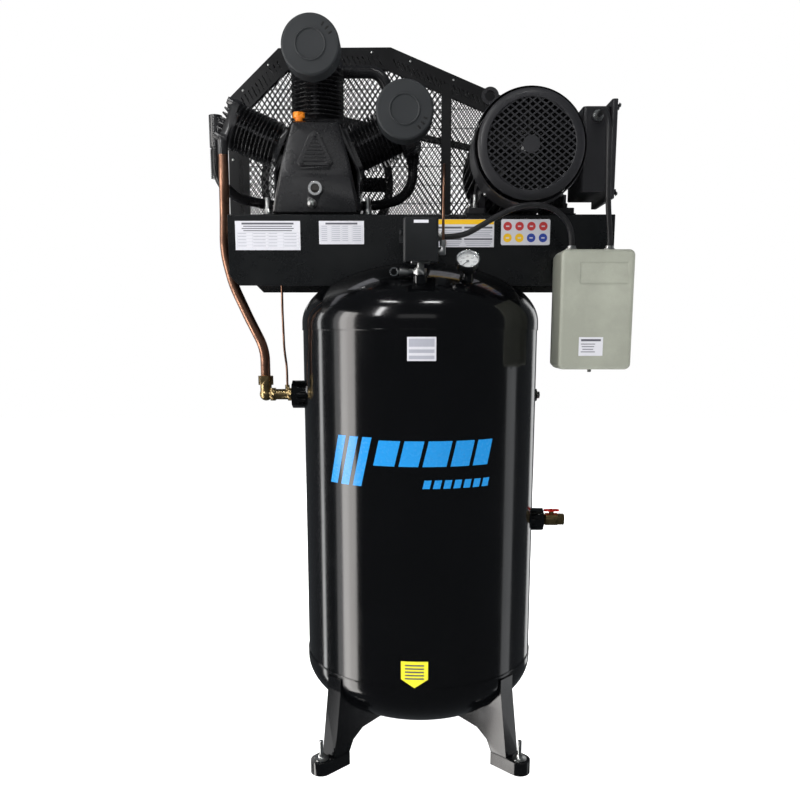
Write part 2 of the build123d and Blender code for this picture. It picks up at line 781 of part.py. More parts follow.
GRILLE_R = 102
with BuildPart() as fan_cover:
    with BuildSketch(cross_plane(MOTOR_X, -204, MOTOR_Z)):
        Circle(COVER_R)
    extrude(amount=122)
    fillet(fan_cover.edges().sort_by(Axis.Y)[0], 28)
    with BuildSketch(cross_plane(MOTOR_X, -196, MOTOR_Z)):
        Circle(COVER_R - 2.5)
    extrude(amount=115, mode=Mode.SUBTRACT)
    with BuildSketch(cross_plane(MOTOR_X, -210, MOTOR_Z)):
        Circle(GRILLE_R)
    extrude(amount=20, mode=Mode.SUBTRACT)
    with BuildSketch(cross_plane(MOTOR_X, -202, MOTOR_Z)) as grille:
        for turn in (38, -38):
            with Locations(Location((0, 0, 0), (0, 0, turn))):
                with GridLocations(0, 12.4, 1, 17):
                    Rectangle(260, 3.4)
        Circle(20)
        Circle(GRILLE_R + 2, mode=Mode.INTERSECT)
    extrude(amount=4)
save(fan_cover, "fan_cover")

with BuildPart() as motor_fan:
    with BuildSketch(cross_plane(MOTOR_X, -165, MOTOR_Z)):
        Circle(34)
    extrude(amount=44)
    with BuildSketch(cross_plane(MOTOR_X, -128, MOTOR_Z)):
        Circle(104)
    extrude(amount=4)
    with BuildSketch(cross_plane(MOTOR_X, -165, MOTOR_Z)):
        with PolarLocations(68, 8):
            Rectangle(74, 5)
    extrude(amount=40)
    with BuildSketch(cross_plane(MOTOR_X, -170, MOTOR_Z)):
        Circle(MOTOR_SHAFT_R)
    extrude(amount=60, mode=Mode.SUBTRACT)
save(motor_fan, "motor_fan")

with BuildPart() as motor_rotor:
    with BuildSketch(cross_plane(MOTOR_X, -168, MOTOR_Z)):
        Circle(MOTOR_SHAFT_R)
    extrude(amount=DRIVE_BACK + 4 + 168)
    with BuildSketch(cross_plane(MOTOR_X, -50, MOTOR_Z)):
        Circle(71)
    extrude(amount=180)
save(motor_rotor, "motor_rotor")

with BuildPart() as motor_pulley:
    add(grooved_wheel(MOTOR_X, MOTOR_Z, PULLEY_R, PULLEY_R - 20, 34))
    with BuildSketch(cross_plane(MOTOR_X, 286, MOTOR_Z)):
        Circle(PULLEY_R - 18)
    extrude(amount=14)
    with BuildSketch(cross_plane(MOTOR_X, DRIVE_FRONT - 5, MOTOR_Z)):
        Circle(MOTOR_SHAFT_R)
    extrude(amount=70, mode=Mode.SUBTRACT)
save(motor_pulley, "motor_pulley")

with BuildPart() as drive_belts:
    for middle in BELT_Y:
        with BuildSketch(cross_plane(0, middle - BELT_W / 2, 0)):
            with Locations((PUMP_X, -CRANK_Z)):
                Circle(WHEEL_R - 0.4)
            with Locations((MOTOR_X, -MOTOR_Z)):
                Circle(PULLEY_R - 0.4)
            make_hull()
        extrude(amount=BELT_W)
        with BuildSketch(cross_plane(0, middle - BELT_W, 0)):
            with Locations((PUMP_X, -CRANK_Z)):
                Circle(WHEEL_R - BELT_DEPTH)
            with Locations((MOTOR_X, -MOTOR_Z)):
                Circle(PULLEY_R - BELT_DEPTH)
            make_hull()
        extrude(amount=BELT_W * 1.8, mode=Mode.SUBTRACT)
save(drive_belts, "drive_belts")

with BuildPart() as terminal_box:
    with BuildSketch(Plane.XY.offset(1440)):
        with Locations(((BOX_FACE + 452) / 2, -30)):
            RectangleRounded(452 - BOX_FACE, 160, 8)
    extrude(amount=196)
    with BuildSketch(Plane.XY.offset(1424)):
        with Locations((459, -30)):
            RectangleRounded(14, 184, 5)
    extrude(amount=226)
    with BuildSketch(side_plane(464, -30, 0)):
        with Locations((78, 1440), (-78, 1440), (78, 1634), (-78, 1634)):
            RegularPolygon(7, 6)
    extrude(amount=7)
save(terminal_box, "terminal_box")

with BuildPart() as deck_bolts:
    for spots, seat, standing in ((PUMP_BOLTS, BASE_Z, 42), (MOTOR_BOLTS, DECK_TOP + 24, 34)):
        with BuildSketch(Plane.XY.offset(DECK_TOP - 24)):
            with Locations(*spots):
                Circle(6)
        extrude(amount=seat - DECK_TOP + 24 + standing)
        with BuildSketch(Plane.XY.offset(seat)):
            with Locations(*spots):
                Circle(12)
        extrude(amount=2.5)
        for nut_z, nut in ((seat, 13), (DECK_TOP - SHEET - 10, 10)):
            with BuildSketch(Plane.XY.offset(nut_z)):
                with Locations(*spots):
                    RegularPolygon(10, 6)
            extrude(amount=nut)
save(deck_bolts, "deck_bolts")

# ---------------------------------------------------------------- the belt guard
GUARD_OUTLINE = [(-541, 1322), (-538, 1748), (-391, 1884), (-78, 1886), (404, 1690), (404, 1322)]
STRIP = 58
SLOT_PITCH = 14
SLOT_LEAN = 62
PANEL_GAP = 1
PANEL_REACH = 1200


def guard_band(y, thick, inset_from, inset_to):
    """A band that follows the guard's outline between two insets, extruded along Y."""
    with BuildPart() as band:
        for inset, mode in ((inset_from, Mode.ADD), (inset_to, Mode.SUBTRACT)):
            with BuildSketch(cross_plane(0, y, 0)):
                with BuildLine():
                    Polyline(*[(x, -z) for x, z in GUARD_OUTLINE], close=True)
                make_face()
                if inset:
                    offset(amount=-inset, kind=Kind.INTERSECTION, mode=Mode.REPLACE)
            extrude(amount=thick, mode=mode)
    return band.part


def strip_points(inset, pitch, margin):
    """Evenly spaced points inside the guard's outline, on every side but the bottom."""
    points = []
    for (x0, z0), (x1, z1) in zip(GUARD_OUTLINE, GUARD_OUTLINE[1:]):
        length = hypot(x1 - x0, z1 - z0)
        across, up = (x1 - x0) / length, (z1 - z0) / length
        for step in range(int((length - 2 * margin) / pitch) + 1):
            along = margin + step * pitch
            points.append((x0 + across * along + up * inset, z0 + up * along - across * inset))
    return points


with BuildPart() as guard_rim:
    add(guard_band(GUARD_FRONT, GUARD_BACK - GUARD_FRONT, 0, 2.5))
    add(guard_band(GUARD_FRONT, 2, 0, STRIP))
    add(guard_band(GUARD_BACK - 2, 2, 0, STRIP - 22))
    with BuildSketch(cross_plane(0, GUARD_FRONT, 0)):
        for x, z in strip_points(36, SLOT_PITCH, 30):
            with Locations(Location((x, -z, 0), (0, 0, SLOT_LEAN))):
                SlotOverall(30, 2.6)
    extrude(amount=2, mode=Mode.SUBTRACT)
    with BuildSketch(cross_plane(79, GUARD_FRONT - 3, 1560)):
        Rectangle(28, 460)
    extrude(amount=3)
save(guard_rim, "guard_rim")

with BuildPart() as guard_meshes:
    for y in (GUARD_FRONT + 2, GUARD_BACK - 3.5):
        with BuildSketch(cross_plane(0, y, 0)):
            with BuildLine():
                Polyline(*[(x, -z) for x, z in GUARD_OUTLINE], close=True)
            make_face()
            offset(amount=-3, kind=Kind.INTERSECTION, mode=Mode.REPLACE)
        extrude(amount=1.5)
    # The front sheet is six panels that meet at the shafts, so that it goes on around them.
    for x, z, radius in ((PUMP_X, CRANK_Z, 42), (MOTOR_X, MOTOR_Z, 70)):
        with BuildSketch(cross_plane(x, GUARD_FRONT, z)):
            Circle(radius)
            Rectangle(PANEL_GAP, PANEL_REACH)
        extrude(amount=10, mode=Mode.SUBTRACT)
    with BuildSketch(cross_plane(0, GUARD_FRONT, CRANK_Z)):
        Rectangle(PANEL_REACH, PANEL_GAP)
    extrude(amount=10, mode=Mode.SUBTRACT)
save(guard_meshes, "guard_meshes")

# ---------------------------------------------------------------- the starter
BOX_X = (318, 488)
BOX_Z = (1018, 1292)
BOX_FRONT = -250
BOX_MID = -160
BOX_BACK = -124
with BuildPart() as starter_box:
    with BuildSketch(cross_plane(sum(BOX_X) / 2, BOX_MID, sum(BOX_Z) / 2)):
        RectangleRounded(BOX_X[1] - BOX_X[0] - 8, BOX_Z[1] - BOX_Z[0] - 8, 10)
    extrude(amount=BOX_BACK - BOX_MID)
    with BuildSketch(cross_plane(sum(BOX_X) / 2, BOX_MID, sum(BOX_Z) / 2)):
        RectangleRounded(BOX_X[1] - BOX_X[0] - 12, BOX_Z[1] - BOX_Z[0] - 12, 8)
    extrude(amount=BOX_BACK - BOX_MID - 2, mode=Mode.SUBTRACT)
    with BuildSketch(cross_plane(sum(BOX_X) / 2, BOX_BACK - 2, 1262)):
        Rectangle(90, 40)
    extrude(amount=DECK_FRONT - BOX_BACK + 2)
    with BuildSketch(cross_plane(sum(BOX_X) / 2, BOX_MID - 20, 1110)):
        Rectangle(70, 90)
    extrude(amount=BOX_BACK - BOX_MID + 19)
save(starter_box, "starter_box")

with BuildPart() as starter_cover:
    with BuildSketch(cross_plane(sum(BOX_X) / 2, BOX_FRONT, sum(BOX_Z) / 2)):
        RectangleRounded(BOX_X[1] - BOX_X[0], BOX_Z[1] - BOX_Z[0], 14)
    extrude(amount=BOX_MID - BOX_FRONT)
    fillet(starter_cover.faces().sort_by(Axis.Y)[0].edges(), 9)
    with BuildSketch(cross_plane(sum(BOX_X) / 2, BOX_FRONT + 3, sum(BOX_Z) / 2)):
        RectangleRounded(BOX_X[1] - BOX_X[0] - 20, BOX_Z[1] - BOX_Z[0] - 20, 8)
    extrude(amount=BOX_MID - BOX_FRONT, mode=Mode.SUBTRACT)
    with BuildSketch(cross_plane(sum(BOX_X) / 2 + 14, BOX_FRONT - 1, 1238)):
        RectangleRounded(112, 50, 3)
    extrude(amount=2.5, mode=Mode.SUBTRACT)
save(starter_cover, "starter_cover")

GLAND_TOPS = ((351, -195), (440, -195))
with BuildPart() as conduit_glands:
    with BuildSketch(Plane.XY.offset(BOX_Z[1])):
        with Locations(*GLAND_TOPS):
            RegularPolygon(13, 6)
    extrude(amount=6)
    with BuildSketch(Plane.XY.offset(BOX_Z[1] + 6)):
        with Locations(*GLAND_TOPS):
            Circle(10)
    extrude(amount=6)
    with BuildSketch(cross_plane(419, -124, 1612)):
        RegularPolygon(14, 6)
    extrude(amount=14)
    with BuildSketch(cross_plane(419, -134, 1612)):
        Circle(10.5)
    extrude(amount=10)
    with BuildSketch(side_plane(35, -222, 1322)):
        RegularPolygon(11, 6)
    extrude(amount=8)
    with BuildSketch(side_plane(43, -222, 1322)):
        Circle(9.5)
    extrude(amount=7)
save(conduit_glands, "conduit_glands")

SWITCH_CONDUIT = [
    (50, -222, 1322),
    (90, -222, 1322),
    (130, -227, 1343),
    (172, -229, 1368),
    (215, -225, 1388),
    (257, -217, 1395),
    (292, -208, 1391),
    (321, -201, 1377),
    (341, -197, 1355),
    (351, -195, 1329),
    (351, -195, 1304),
]
tube("conduit_switch", SWITCH_CONDUIT, 6.5, route_radii(SWITCH_CONDUIT))
MOTOR_CONDUIT = [
    (419, -134, 1612),
    (419, -172, 1612),
    (419, -207, 1592),
    (419, -227, 1557),
    (420, -229, 1514),
    (423, -224, 1462),
    (427, -214, 1410),
    (434, -202, 1364),
    (440, -195, 1330),
    (440, -195, 1304),
]
tube("conduit_motor", MOTOR_CONDUIT, 6.5, route_radii(MOTOR_CONDUIT))

# ---------------------------------------------------------------- controls on the top head
with BuildPart() as pressure_switch:
    with BuildSketch(Plane.XY.offset(1264)):
        with Locations((SWITCH_X, SWITCH_Y)):
            RectangleRounded(80, 68, 7)
    extrude(amount=96)
    fillet(pressure_switch.faces().sort_by(Axis.Z)[-1].edges(), 5)
    with Locations(Location((SWITCH_X - 40, SWITCH_Y, 1329), (0, -90, 0))):
        Hole(3.05, depth=14)
save(pressure_switch, "pressure_switch")

with BuildPart() as switch_lever:
    with BuildSketch(side_plane(SWITCH_X - 40 + 12, SWITCH_Y, 1329, -1)):
        Circle(3)
    extrude(amount=14)
    with BuildSketch(side_plane(SWITCH_X - 40 - GAP, SWITCH_Y, 1329, -1)):
        Circle(9)
        with Locations((0, -11)):
            Rectangle(7, 22)
    extrude(amount=8)
save(switch_lever, "switch_lever")

with BuildPart() as switch_fittings:
    with BuildSketch(Plane.XY.offset(1232)):
        with Locations((SWITCH_X, SWITCH_Y)):
            Circle(9)
    extrude(amount=32)
    with BuildSketch(Plane.XY.offset(1234)):
        with Locations((SWITCH_X, SWITCH_Y)):
            RegularPolygon(15, 6)
    extrude(amount=16)
    with BuildSketch(Plane.XY.offset(1260)):
        with Locations((SWITCH_X, SWITCH_Y)):
            RectangleRounded(46, 46, 5)
    extrude(amount=4)
    with BuildSketch(side_plane(SWITCH_X - 8, SWITCH_Y, 1242, -1)):
        Circle(6)
    extrude(amount=10)
    with BuildSketch(side_plane(35, -258, 1284)):
        RegularPolygon(8, 6)
    extrude(amount=15)
    with BuildSketch(Plane.XY.offset(1278)):
        with Locations((46, -258)):
            Circle(6)
    extrude(amount=20)
    with BuildSketch(Plane.XY.offset(1298)):
        with Locations((46, -258)):
            RegularPolygon(7.5, 6)
    extrude(amount=12)
save(switch_fittings, "switch_fittings")

SAFETY_X = SWITCH_X - 18
with BuildPart() as safety_valve:
    with BuildSketch(side_plane(SAFETY_X, SWITCH_Y, 1242, -1)):
        RegularPolygon(7.5, 6)
    extrude(amount=12)
    with BuildSketch(side_plane(SAFETY_X - 10, SWITCH_Y, 1242, -1)):
        Circle(9)
    extrude(amount=20)
    with BuildSketch(side_plane(SAFETY_X - 14, SWITCH_Y, 1242, -1)):
        Circle(2 + RUN_FIT)
    extrude(amount=20, mode=Mode.SUBTRACT)
save(safety_valve, "safety_valve")

with BuildPart() as safety_ring:
    with BuildSketch(side_plane(SAFETY_X - 14.5, SWITCH_Y, 1242, -1)):
        Circle(2)
    extrude(amount=20)
    with BuildSketch(cross_plane(SAFETY_X - 43, SWITCH_Y - 1.2, 1242)):
        Circle(10)
        Circle(7.5, mode=Mode.SUBTRACT)
    extrude(amount=2.4)
save(safety_ring, "safety_ring")

tilt = radians(GAUGE_TILT)
gauge_axis = (0, -cos(tilt), sin(tilt))
GAUGE_ELBOW = (105, -205, 1250)


def gauge_plane(along):
    """A plane square to the gauge's axis, at a distance from its elbow."""
    centre = tuple(e + along * a for e, a in zip(GAUGE_ELBOW, gauge_axis))
    return Plane(origin=centre, x_dir=(1, 0, 0), z_dir=gauge_axis)


with BuildPart() as gauge_case:
    with BuildSketch(Plane.XY.offset(1238)):
        with Locations((105, -205)):
            Circle(8)
    extrude(amount=14)
    with Locations(GAUGE_ELBOW):
        Sphere(10)
    with BuildSketch(gauge_plane(2)):
        RegularPolygon(9, 6)
    extrude(amount=16)
    with BuildSketch(gauge_plane(14)):
        Circle(28)
    extrude(amount=22)
    with BuildSketch(gauge_plane(24)):
        Circle(25.5)
    extrude(amount=20, mode=Mode.SUBTRACT)
    with BuildSketch(gauge_plane(20)):
        Circle(1.5 + RUN_FIT)
    extrude(amount=10, mode=Mode.SUBTRACT)
    add(tank_ports.part, mode=Mode.SUBTRACT)
save(gauge_case, "gauge_case")

with BuildPart() as gauge_needle:
    with BuildSketch(gauge_plane(20.5)):
        Circle(1.5)
    extrude(amount=8)
    with BuildSketch(gauge_plane(27)):
        Circle(3.5)
        with Locations(Location((0, 0, 0), (0, 0, 225))):
            with Locations((8, 0)):
                Rectangle(24, 1.6)
    extrude(amount=1)
save(gauge_needle, "gauge_needle")

# ---------------------------------------------------------------- valves on the shell
with BuildPart() as check_valve:
    with BuildSketch(side_plane(-338, 0, CHECK_Z, -1)):
        RegularPolygon(19, 6)
    extrude(amount=12)
    with BuildSketch(side_plane(-345, 0, CHECK_Z, -1)):
        Circle(14)
    extrude(amount=64)
    with Locations((-409, 0, CHECK_Z)):
        Sphere(17)
    with BuildSketch(Plane.XY.offset(CHECK_Z)):
        with Locations((-409, 0)):
            Circle(15)
    extrude(amount=30)
    with BuildSketch(Plane.XY.offset(966)):
        with Locations((-409, 0)):
            RegularPolygon(20, 6)
    extrude(amount=24)
    with BuildSketch(side_plane(-384, 0, CHECK_Z, -1)):
        RegularPolygon(19, 6)
    extrude(amount=12)
    with BuildSketch(Plane.XY.offset(CHECK_Z + 8)):
        with Locations((-352, 0)):
            Circle(6)
    extrude(amount=17)
save(check_valve, "check_valve")

VALVE_X = 362
with BuildPart() as outlet_valve:
    with BuildSketch(side_plane(338, 0, OUTLET_Z)):
        RegularPolygon(16, 6)
    extrude(amount=10)
    with BuildSketch(side_plane(346, 0, OUTLET_Z)):
        Circle(17)
    extrude(amount=32)
    with BuildSketch(side_plane(377, 0, OUTLET_Z)):
        RegularPolygon(16.5, 6)
    extrude(amount=19)
    with BuildSketch(Plane.XY.offset(OUTLET_Z)):
        with Locations((VALVE_X, 0)):
            Circle(7)
    extrude(amount=22)
    with BuildSketch(side_plane(374, 0, OUTLET_Z)):
        Circle(NPT_HALF_R)
    extrude(amount=30, mode=Mode.SUBTRACT)
    with BuildSketch(side_plane(337, 0, OUTLET_Z)):
        Circle(NPT_HALF_R - 2)
    extrude(amount=60, mode=Mode.SUBTRACT)
    with Locations((VALVE_X, 0, OUTLET_Z)):
        Sphere(12.1, mode=Mode.SUBTRACT)
    with BuildSketch(Plane.XY.offset(OUTLET_Z + 6)):
        with Locations((VALVE_X, 0)):
            Circle(3 + RUN_FIT)
    extrude(amount=20, mode=Mode.SUBTRACT)
save(outlet_valve, "outlet_valve")

with BuildPart() as outlet_handle:
    with Locations((VALVE_X, 0, OUTLET_Z)):
        Sphere(12)
    with BuildSketch(side_plane(VALVE_X - 14, 0, OUTLET_Z)):
        Circle(NPT_HALF_R - 2)
    extrude(amount=28, mode=Mode.SUBTRACT)
    with BuildSketch(Plane.XY.offset(OUTLET_Z + 9)):
        with Locations((VALVE_X, 0)):
            Circle(3)
    extrude(amount=20)
    with BuildSketch(Plane.XY.offset(OUTLET_Z + 22 + GAP)):
        with Locations((VALVE_X, 0)):
            SlotOverall(43, 13)
    extrude(amount=5)
save(outlet_handle, "outlet_handle")
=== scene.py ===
"""Looks of a vertical tank air compressor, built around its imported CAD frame.

Laid out as a Blender add-on and run as a script.  Everything is in metres, with Z up, the
controls towards -Y and the origin on the floor under the tank.
"""

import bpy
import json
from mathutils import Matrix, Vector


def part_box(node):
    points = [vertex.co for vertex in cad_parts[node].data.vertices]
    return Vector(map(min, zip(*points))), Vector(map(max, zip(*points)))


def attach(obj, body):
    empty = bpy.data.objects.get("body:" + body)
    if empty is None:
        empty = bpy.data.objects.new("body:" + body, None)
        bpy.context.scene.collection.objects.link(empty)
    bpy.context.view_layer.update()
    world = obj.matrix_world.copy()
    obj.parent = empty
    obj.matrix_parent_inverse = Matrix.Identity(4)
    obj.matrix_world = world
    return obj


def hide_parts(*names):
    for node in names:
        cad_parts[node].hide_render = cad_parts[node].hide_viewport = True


bl_info = {
    "name": "Vertical Tank Compressor",
    "version": (1, 0, 0),
    "blender": (4, 5, 0),
    "location": "View3D > Sidebar > Compressor",
    "description": "Finishes and fine detail for a vertical tank air compressor",
    "category": "Add Mesh",
}

import json
import math

import bmesh
import bpy
from bpy.props import FloatProperty, FloatVectorProperty, IntProperty, PointerProperty
from mathutils import Matrix, Vector

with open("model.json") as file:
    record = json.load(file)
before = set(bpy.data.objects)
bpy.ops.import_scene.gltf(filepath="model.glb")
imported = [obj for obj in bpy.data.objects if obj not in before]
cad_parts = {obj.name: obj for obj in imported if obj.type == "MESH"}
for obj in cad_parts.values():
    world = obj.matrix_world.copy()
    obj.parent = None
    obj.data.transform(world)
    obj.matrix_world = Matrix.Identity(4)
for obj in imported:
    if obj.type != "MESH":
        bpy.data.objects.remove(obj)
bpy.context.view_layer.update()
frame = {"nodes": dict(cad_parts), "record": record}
NODES = frame["nodes"]
RECORD = frame["record"]
SLOT_OF = {part["node"]: part["material_slot"] for part in RECORD["subparts"]}
BODY_OF = {node: body for body, nodes in RECORD["behaviour"]["bodies"].items() for node in nodes}
JOINTS = {joint["name"]: joint for joint in RECORD["behaviour"]["joints"]}

# ---------------------------------------------------------------- places read from the frame


def low(node):
    """The lowest corner of a CAD node's box."""
    return Vector(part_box(node)[0])


def high(node):
    """The highest corner of a CAD node's box."""
    return Vector(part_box(node)[1])


def middle(node):
    """The centre of a CAD node's box."""
    return (low(node) + high(node)) / 2


SHELL_R = high("tank_shell").x
HEAD_R = high("tank_head_top").x
SEAM_LOW = low("tank_shell").z
SEAM_HIGH = high("tank_shell").z
HEAD_DEPTH = HEAD_R / 2
HEAD_SKIRT = high("tank_head_top").z - SEAM_HIGH - HEAD_DEPTH
APRON_Y = low("deck").y
MOTOR = Vector(JOINTS["motor_spin"]["pos_m"])
CRANK = Vector(JOINTS["crank_spin"]["pos_m"])
DIAL = Vector(JOINTS["needle_turn"]["pos_m"])
DIAL_OUT = -Vector(JOINTS["needle_turn"]["axis"])
GUARD_LOW = low("guard_rim")
GUARD_HIGH = high("guard_rim")
GUARD_FRONT = low("guard_meshes").y
GUARD_BACK = high("guard_meshes").y
COVER_R = (high("fan_cover").x - low("fan_cover").x) / 2
COVER_BACK = high("fan_cover").y
STARTER_FRONT = low("starter_cover").y
MERGE = 2e-6
MM = 0.001
SMOOTH_ANGLE = 32.0

# ---------------------------------------------------------------- what a user would change


class TankSettings(bpy.types.PropertyGroup):
    """The receiver and its marks."""

    colour: FloatVectorProperty(
        name="Enamel",
        description="Gloss enamel of the receiver",
        subtype="COLOR",
        default=(0.0012, 0.0013, 0.0016),
    )
    mark_colour: FloatVectorProperty(
        name="Stripes", description="Colour of the plain stripes", subtype="COLOR", default=(0.01, 0.26, 0.66)
    )
    steps: IntProperty(name="Steps", description="Faces round the receiver", default=256, min=48)
    bead: FloatProperty(name="Weld bead", description="Radius of a weld bead", default=0.0022, unit="LENGTH")


class GuardSettings(bpy.types.PropertyGroup):
    """The expanded metal of the belt guard."""

    cell_width: FloatProperty(
        name="Cell width", description="Short way of a diamond", default=0.0155, unit="LENGTH"
    )
    cell_height: FloatProperty(
        name="Cell height", description="Long way of a diamond", default=0.0225, unit="LENGTH"
    )
    strand: FloatProperty(
        name="Strand", description="Half the width of a strand", default=0.0013, unit="LENGTH"
    )
    sheet: FloatProperty(name="Sheet", description="Thickness of the metal", default=0.0011, unit="LENGTH")
    twist: FloatProperty(name="Twist", description="How far a strand leans", default=0.0006, unit="LENGTH")


class FinishSettings(bpy.types.PropertyGroup):
    """Colours of the other finishes."""

    casting: FloatVectorProperty(
        name="Castings", description="Paint of the pump", subtype="COLOR", default=(0.009, 0.009, 0.010)
    )
    motor: FloatVectorProperty(
        name="Motor", description="Paint of the motor", subtype="COLOR", default=(0.014, 0.014, 0.016)
    )
    starter: FloatVectorProperty(
        name="Starter",
        description="Paint of the starter box",
        subtype="COLOR",
        default=(0.285, 0.295, 0.247),
    )
    filters: FloatVectorProperty(
        name="Filters",
        description="Plastic of the air filters",
        subtype="COLOR",
        default=(0.018, 0.020, 0.022),
    )


# ---------------------------------------------------------------- shader arithmetic


class Level:
    """A value in a material's node tree that takes part in Python arithmetic."""

    def __init__(self, paint, socket):
        self.paint = paint
        self.socket = socket

    def _join(self, operation, first, second):
        return self.paint.node("Math", {"operation": operation}, {0: first, 1: second})

    def __add__(self, other):
        return self._join("ADD", self, other)

    def __radd__(self, other):
        return self._join("ADD", other, self)

    def __mul__(self, other):
        return self._join("MULTIPLY", self, other)

    def __rmul__(self, other):
        return self._join("MULTIPLY", other, self)

    def held(self, floor=0.0, roof=1.0):
        return self.paint.node("Clamp", {}, {"Value": self, "Min": floor, "Max": roof})


class Paint:
    """A procedural material around one Principled shader, on Object coordinates."""

    def __init__(self, name, colour, edge=0.0, **sockets):
        self.material = bpy.data.materials.new(name)
        self.material.use_nodes = True
        self.tree = self.material.node_tree
        self.tree.nodes.clear()
        out = self.tree.nodes.new("ShaderNodeOutputMaterial")
        self.shader = self.tree.nodes.new("ShaderNodeBsdfPrincipled")
        self.tree.links.new(self.shader.outputs[0], out.inputs["Surface"])
        self.shader.inputs["Base Color"].default_value = (*colour, 1.0)
        for key, value in sockets.items():
            self.shader.inputs[key.replace("_", " ").title()].default_value = value
        self.place = self.node("TexCoord", output=3)
        self.edge = edge

    def node(self, kind, settings=None, inputs=None, output=0):
        """Make one node: its settings first, then the values or links of its sockets."""
        made = self.tree.nodes.new("ShaderNode" + kind)
        for key, value in (settings or {}).items():
            if key == "stops":
                for stop, (spot, tone) in zip(made.color_ramp.elements, value):
                    stop.position = spot
                    stop.color = (tone, tone, tone, 1.0)
            else:
                setattr(made, key, value)
        for key, value in (inputs or {}).items():
            if isinstance(value, Level):
                self.tree.links.new(value.socket, made.inputs[key])
            else:
                made.inputs[key].default_value = value
        return Level(self, made.outputs[output])

    def noise(self, scale, detail=3.0, rough=0.5, place=None):
        inputs = {"Vector": place or self.place, "Scale": scale, "Detail": detail, "Roughness": rough}
        return self.node("TexNoise", {}, inputs)

    def patches(self, scale, start=0.42, end=0.75, detail=5.0, place=None):
        """Soft-edged patches: 0 outside them and 1 inside."""
        cloud = self.noise(scale, detail, 0.62, place)
        return self.node("ValToRGB", {"stops": ((start, 0.0), (end, 1.0))}, {"Fac": cloud})

    def stretched(self, x, y, z):
        """Object coordinates scaled along each axis, for brushed and drawn surfaces."""
        return self.node("Mapping", {}, {"Vector": self.place, "Scale": (x, y, z)})

    def feed(self, socket, value):
        self.tree.links.new(value.socket, self.shader.inputs[socket])

    def tones(self, share, first, second):
        """Base colour that goes from one tone to another with a share."""
        colours = {0: share, 6: (*first, 1.0), 7: (*second, 1.0)}
        self.feed("Base Color", self.node("Mix", {"data_type": "RGBA"}, colours, output=2))

    def relief(self, height, strength=0.3, distance=0.0004):
        """Bump from a height, over edges that are slightly rounded."""
        inputs = {"Strength": strength, "Distance": distance, "Height": height}
        if self.edge:
            inputs["Normal"] = self.node("Bevel", {"samples": 4}, {"Radius": self.edge})
        self.feed("Normal", self.node("Bump", {}, inputs))


def shade(colour, factor):
    return tuple(min(1.0, channel * factor) for channel in colour)


# ---------------------------------------------------------------- finishes


def gloss_enamel(name, colour, edge=0.0):
    """Deep powder coat with slight orange peel, faint dust and rub marks."""
    paint = Paint(name, colour, edge, roughness=0.14, coat_weight=0.4, coat_roughness=0.09)
    dust = paint.patches(5.0)
    smears = paint.patches(1.0, 0.5, 0.8, 4.0, paint.stretched(30, 30, 3))
    paint.tones(dust * 0.15, colour, shade(colour, 3.0))
    paint.feed("Roughness", (0.12 + dust * 0.06 + smears * 0.06).held())
    paint.relief(paint.noise(240.0, 1.0) + paint.noise(26.0, 2.0) * 1.5, 0.03, 0.0006)
    return paint.material


def satin_enamel(name, colour, roughness=0.34, peel=0.12, edge=0.0008):
    """Sprayed enamel with a fine texture and dusty, worn tone changes."""
    paint = Paint(name, colour, edge, roughness=roughness, coat_weight=0.1)
    dust = paint.patches(9.0)
    specks = paint.patches(420.0, 0.62, 0.72, 2.0)
    paint.tones((dust * 0.3 + specks * 0.15).held(), colour, shade(colour, 1.9))
    paint.feed("Roughness", (roughness - 0.05 + dust * 0.14 + specks * 0.08).held())
    paint.relief(paint.noise(340.0, 2.0) + paint.noise(60.0, 3.0) * 0.8, peel, 0.0005)
    return paint.material


def painted_casting(name, colour):
    """Black paint over sand-cast iron: grainy, pitted and uneven in gloss."""
    paint = Paint(name, colour, 0.001, roughness=0.3, coat_weight=0.6, coat_roughness=0.16)
    grain = paint.noise(300.0, 4.0, 0.7)
    lumps = paint.noise(45.0, 4.0, 0.6)
    worn = paint.patches(12.0)
    pits = paint.patches(180.0, 0.3, 0.38, 3.0)
    paint.tones(worn * 0.35, colour, shade(colour, 2.0))
    paint.feed("Roughness", (0.18 + worn * 0.14 + grain * 0.14).held())
    paint.relief(grain * 0.8 + lumps * 1.4 + pits * 0.5, 0.3, 0.0009)
    return paint.material


def moulded(name, colour, roughness=0.5, grain=0.18):
    """Moulded plastic with a spark-eroded grain."""
    paint = Paint(name, colour, 0.0006, roughness=roughness)
    settings = {"feature": "DISTANCE_TO_EDGE"}
    cells = paint.node("TexVoronoi", settings, {"Vector": paint.place, "Scale": 900.0})
    clouds = paint.patches(16.0)
    paint.tones(clouds * 0.3, colour, shade(colour, 1.5))
    paint.feed("Roughness", (roughness - 0.04 + clouds * 0.1).held())
    paint.relief(cells + paint.noise(500.0, 2.0) * 0.5, grain, 0.0003)
    return paint.material


def plated(name, colour, roughness=0.26, drawn=(60, 60, 400)):
    """Bright plating over machined steel, with fine tool lines and a dull bloom."""
    paint = Paint(name, colour, 0.0004, metallic=1.0, roughness=roughness)
    lines = paint.noise(6.0, 3.0, 0.6, paint.stretched(*drawn))
    bloom = paint.patches(55.0)
    paint.tones(bloom * 0.5, colour, shade(colour, 0.68))
    paint.feed("Roughness", (roughness - 0.06 + bloom * 0.14 + lines * 0.1).held())
    paint.relief(lines, 0.12, 0.0003)
    return paint.material


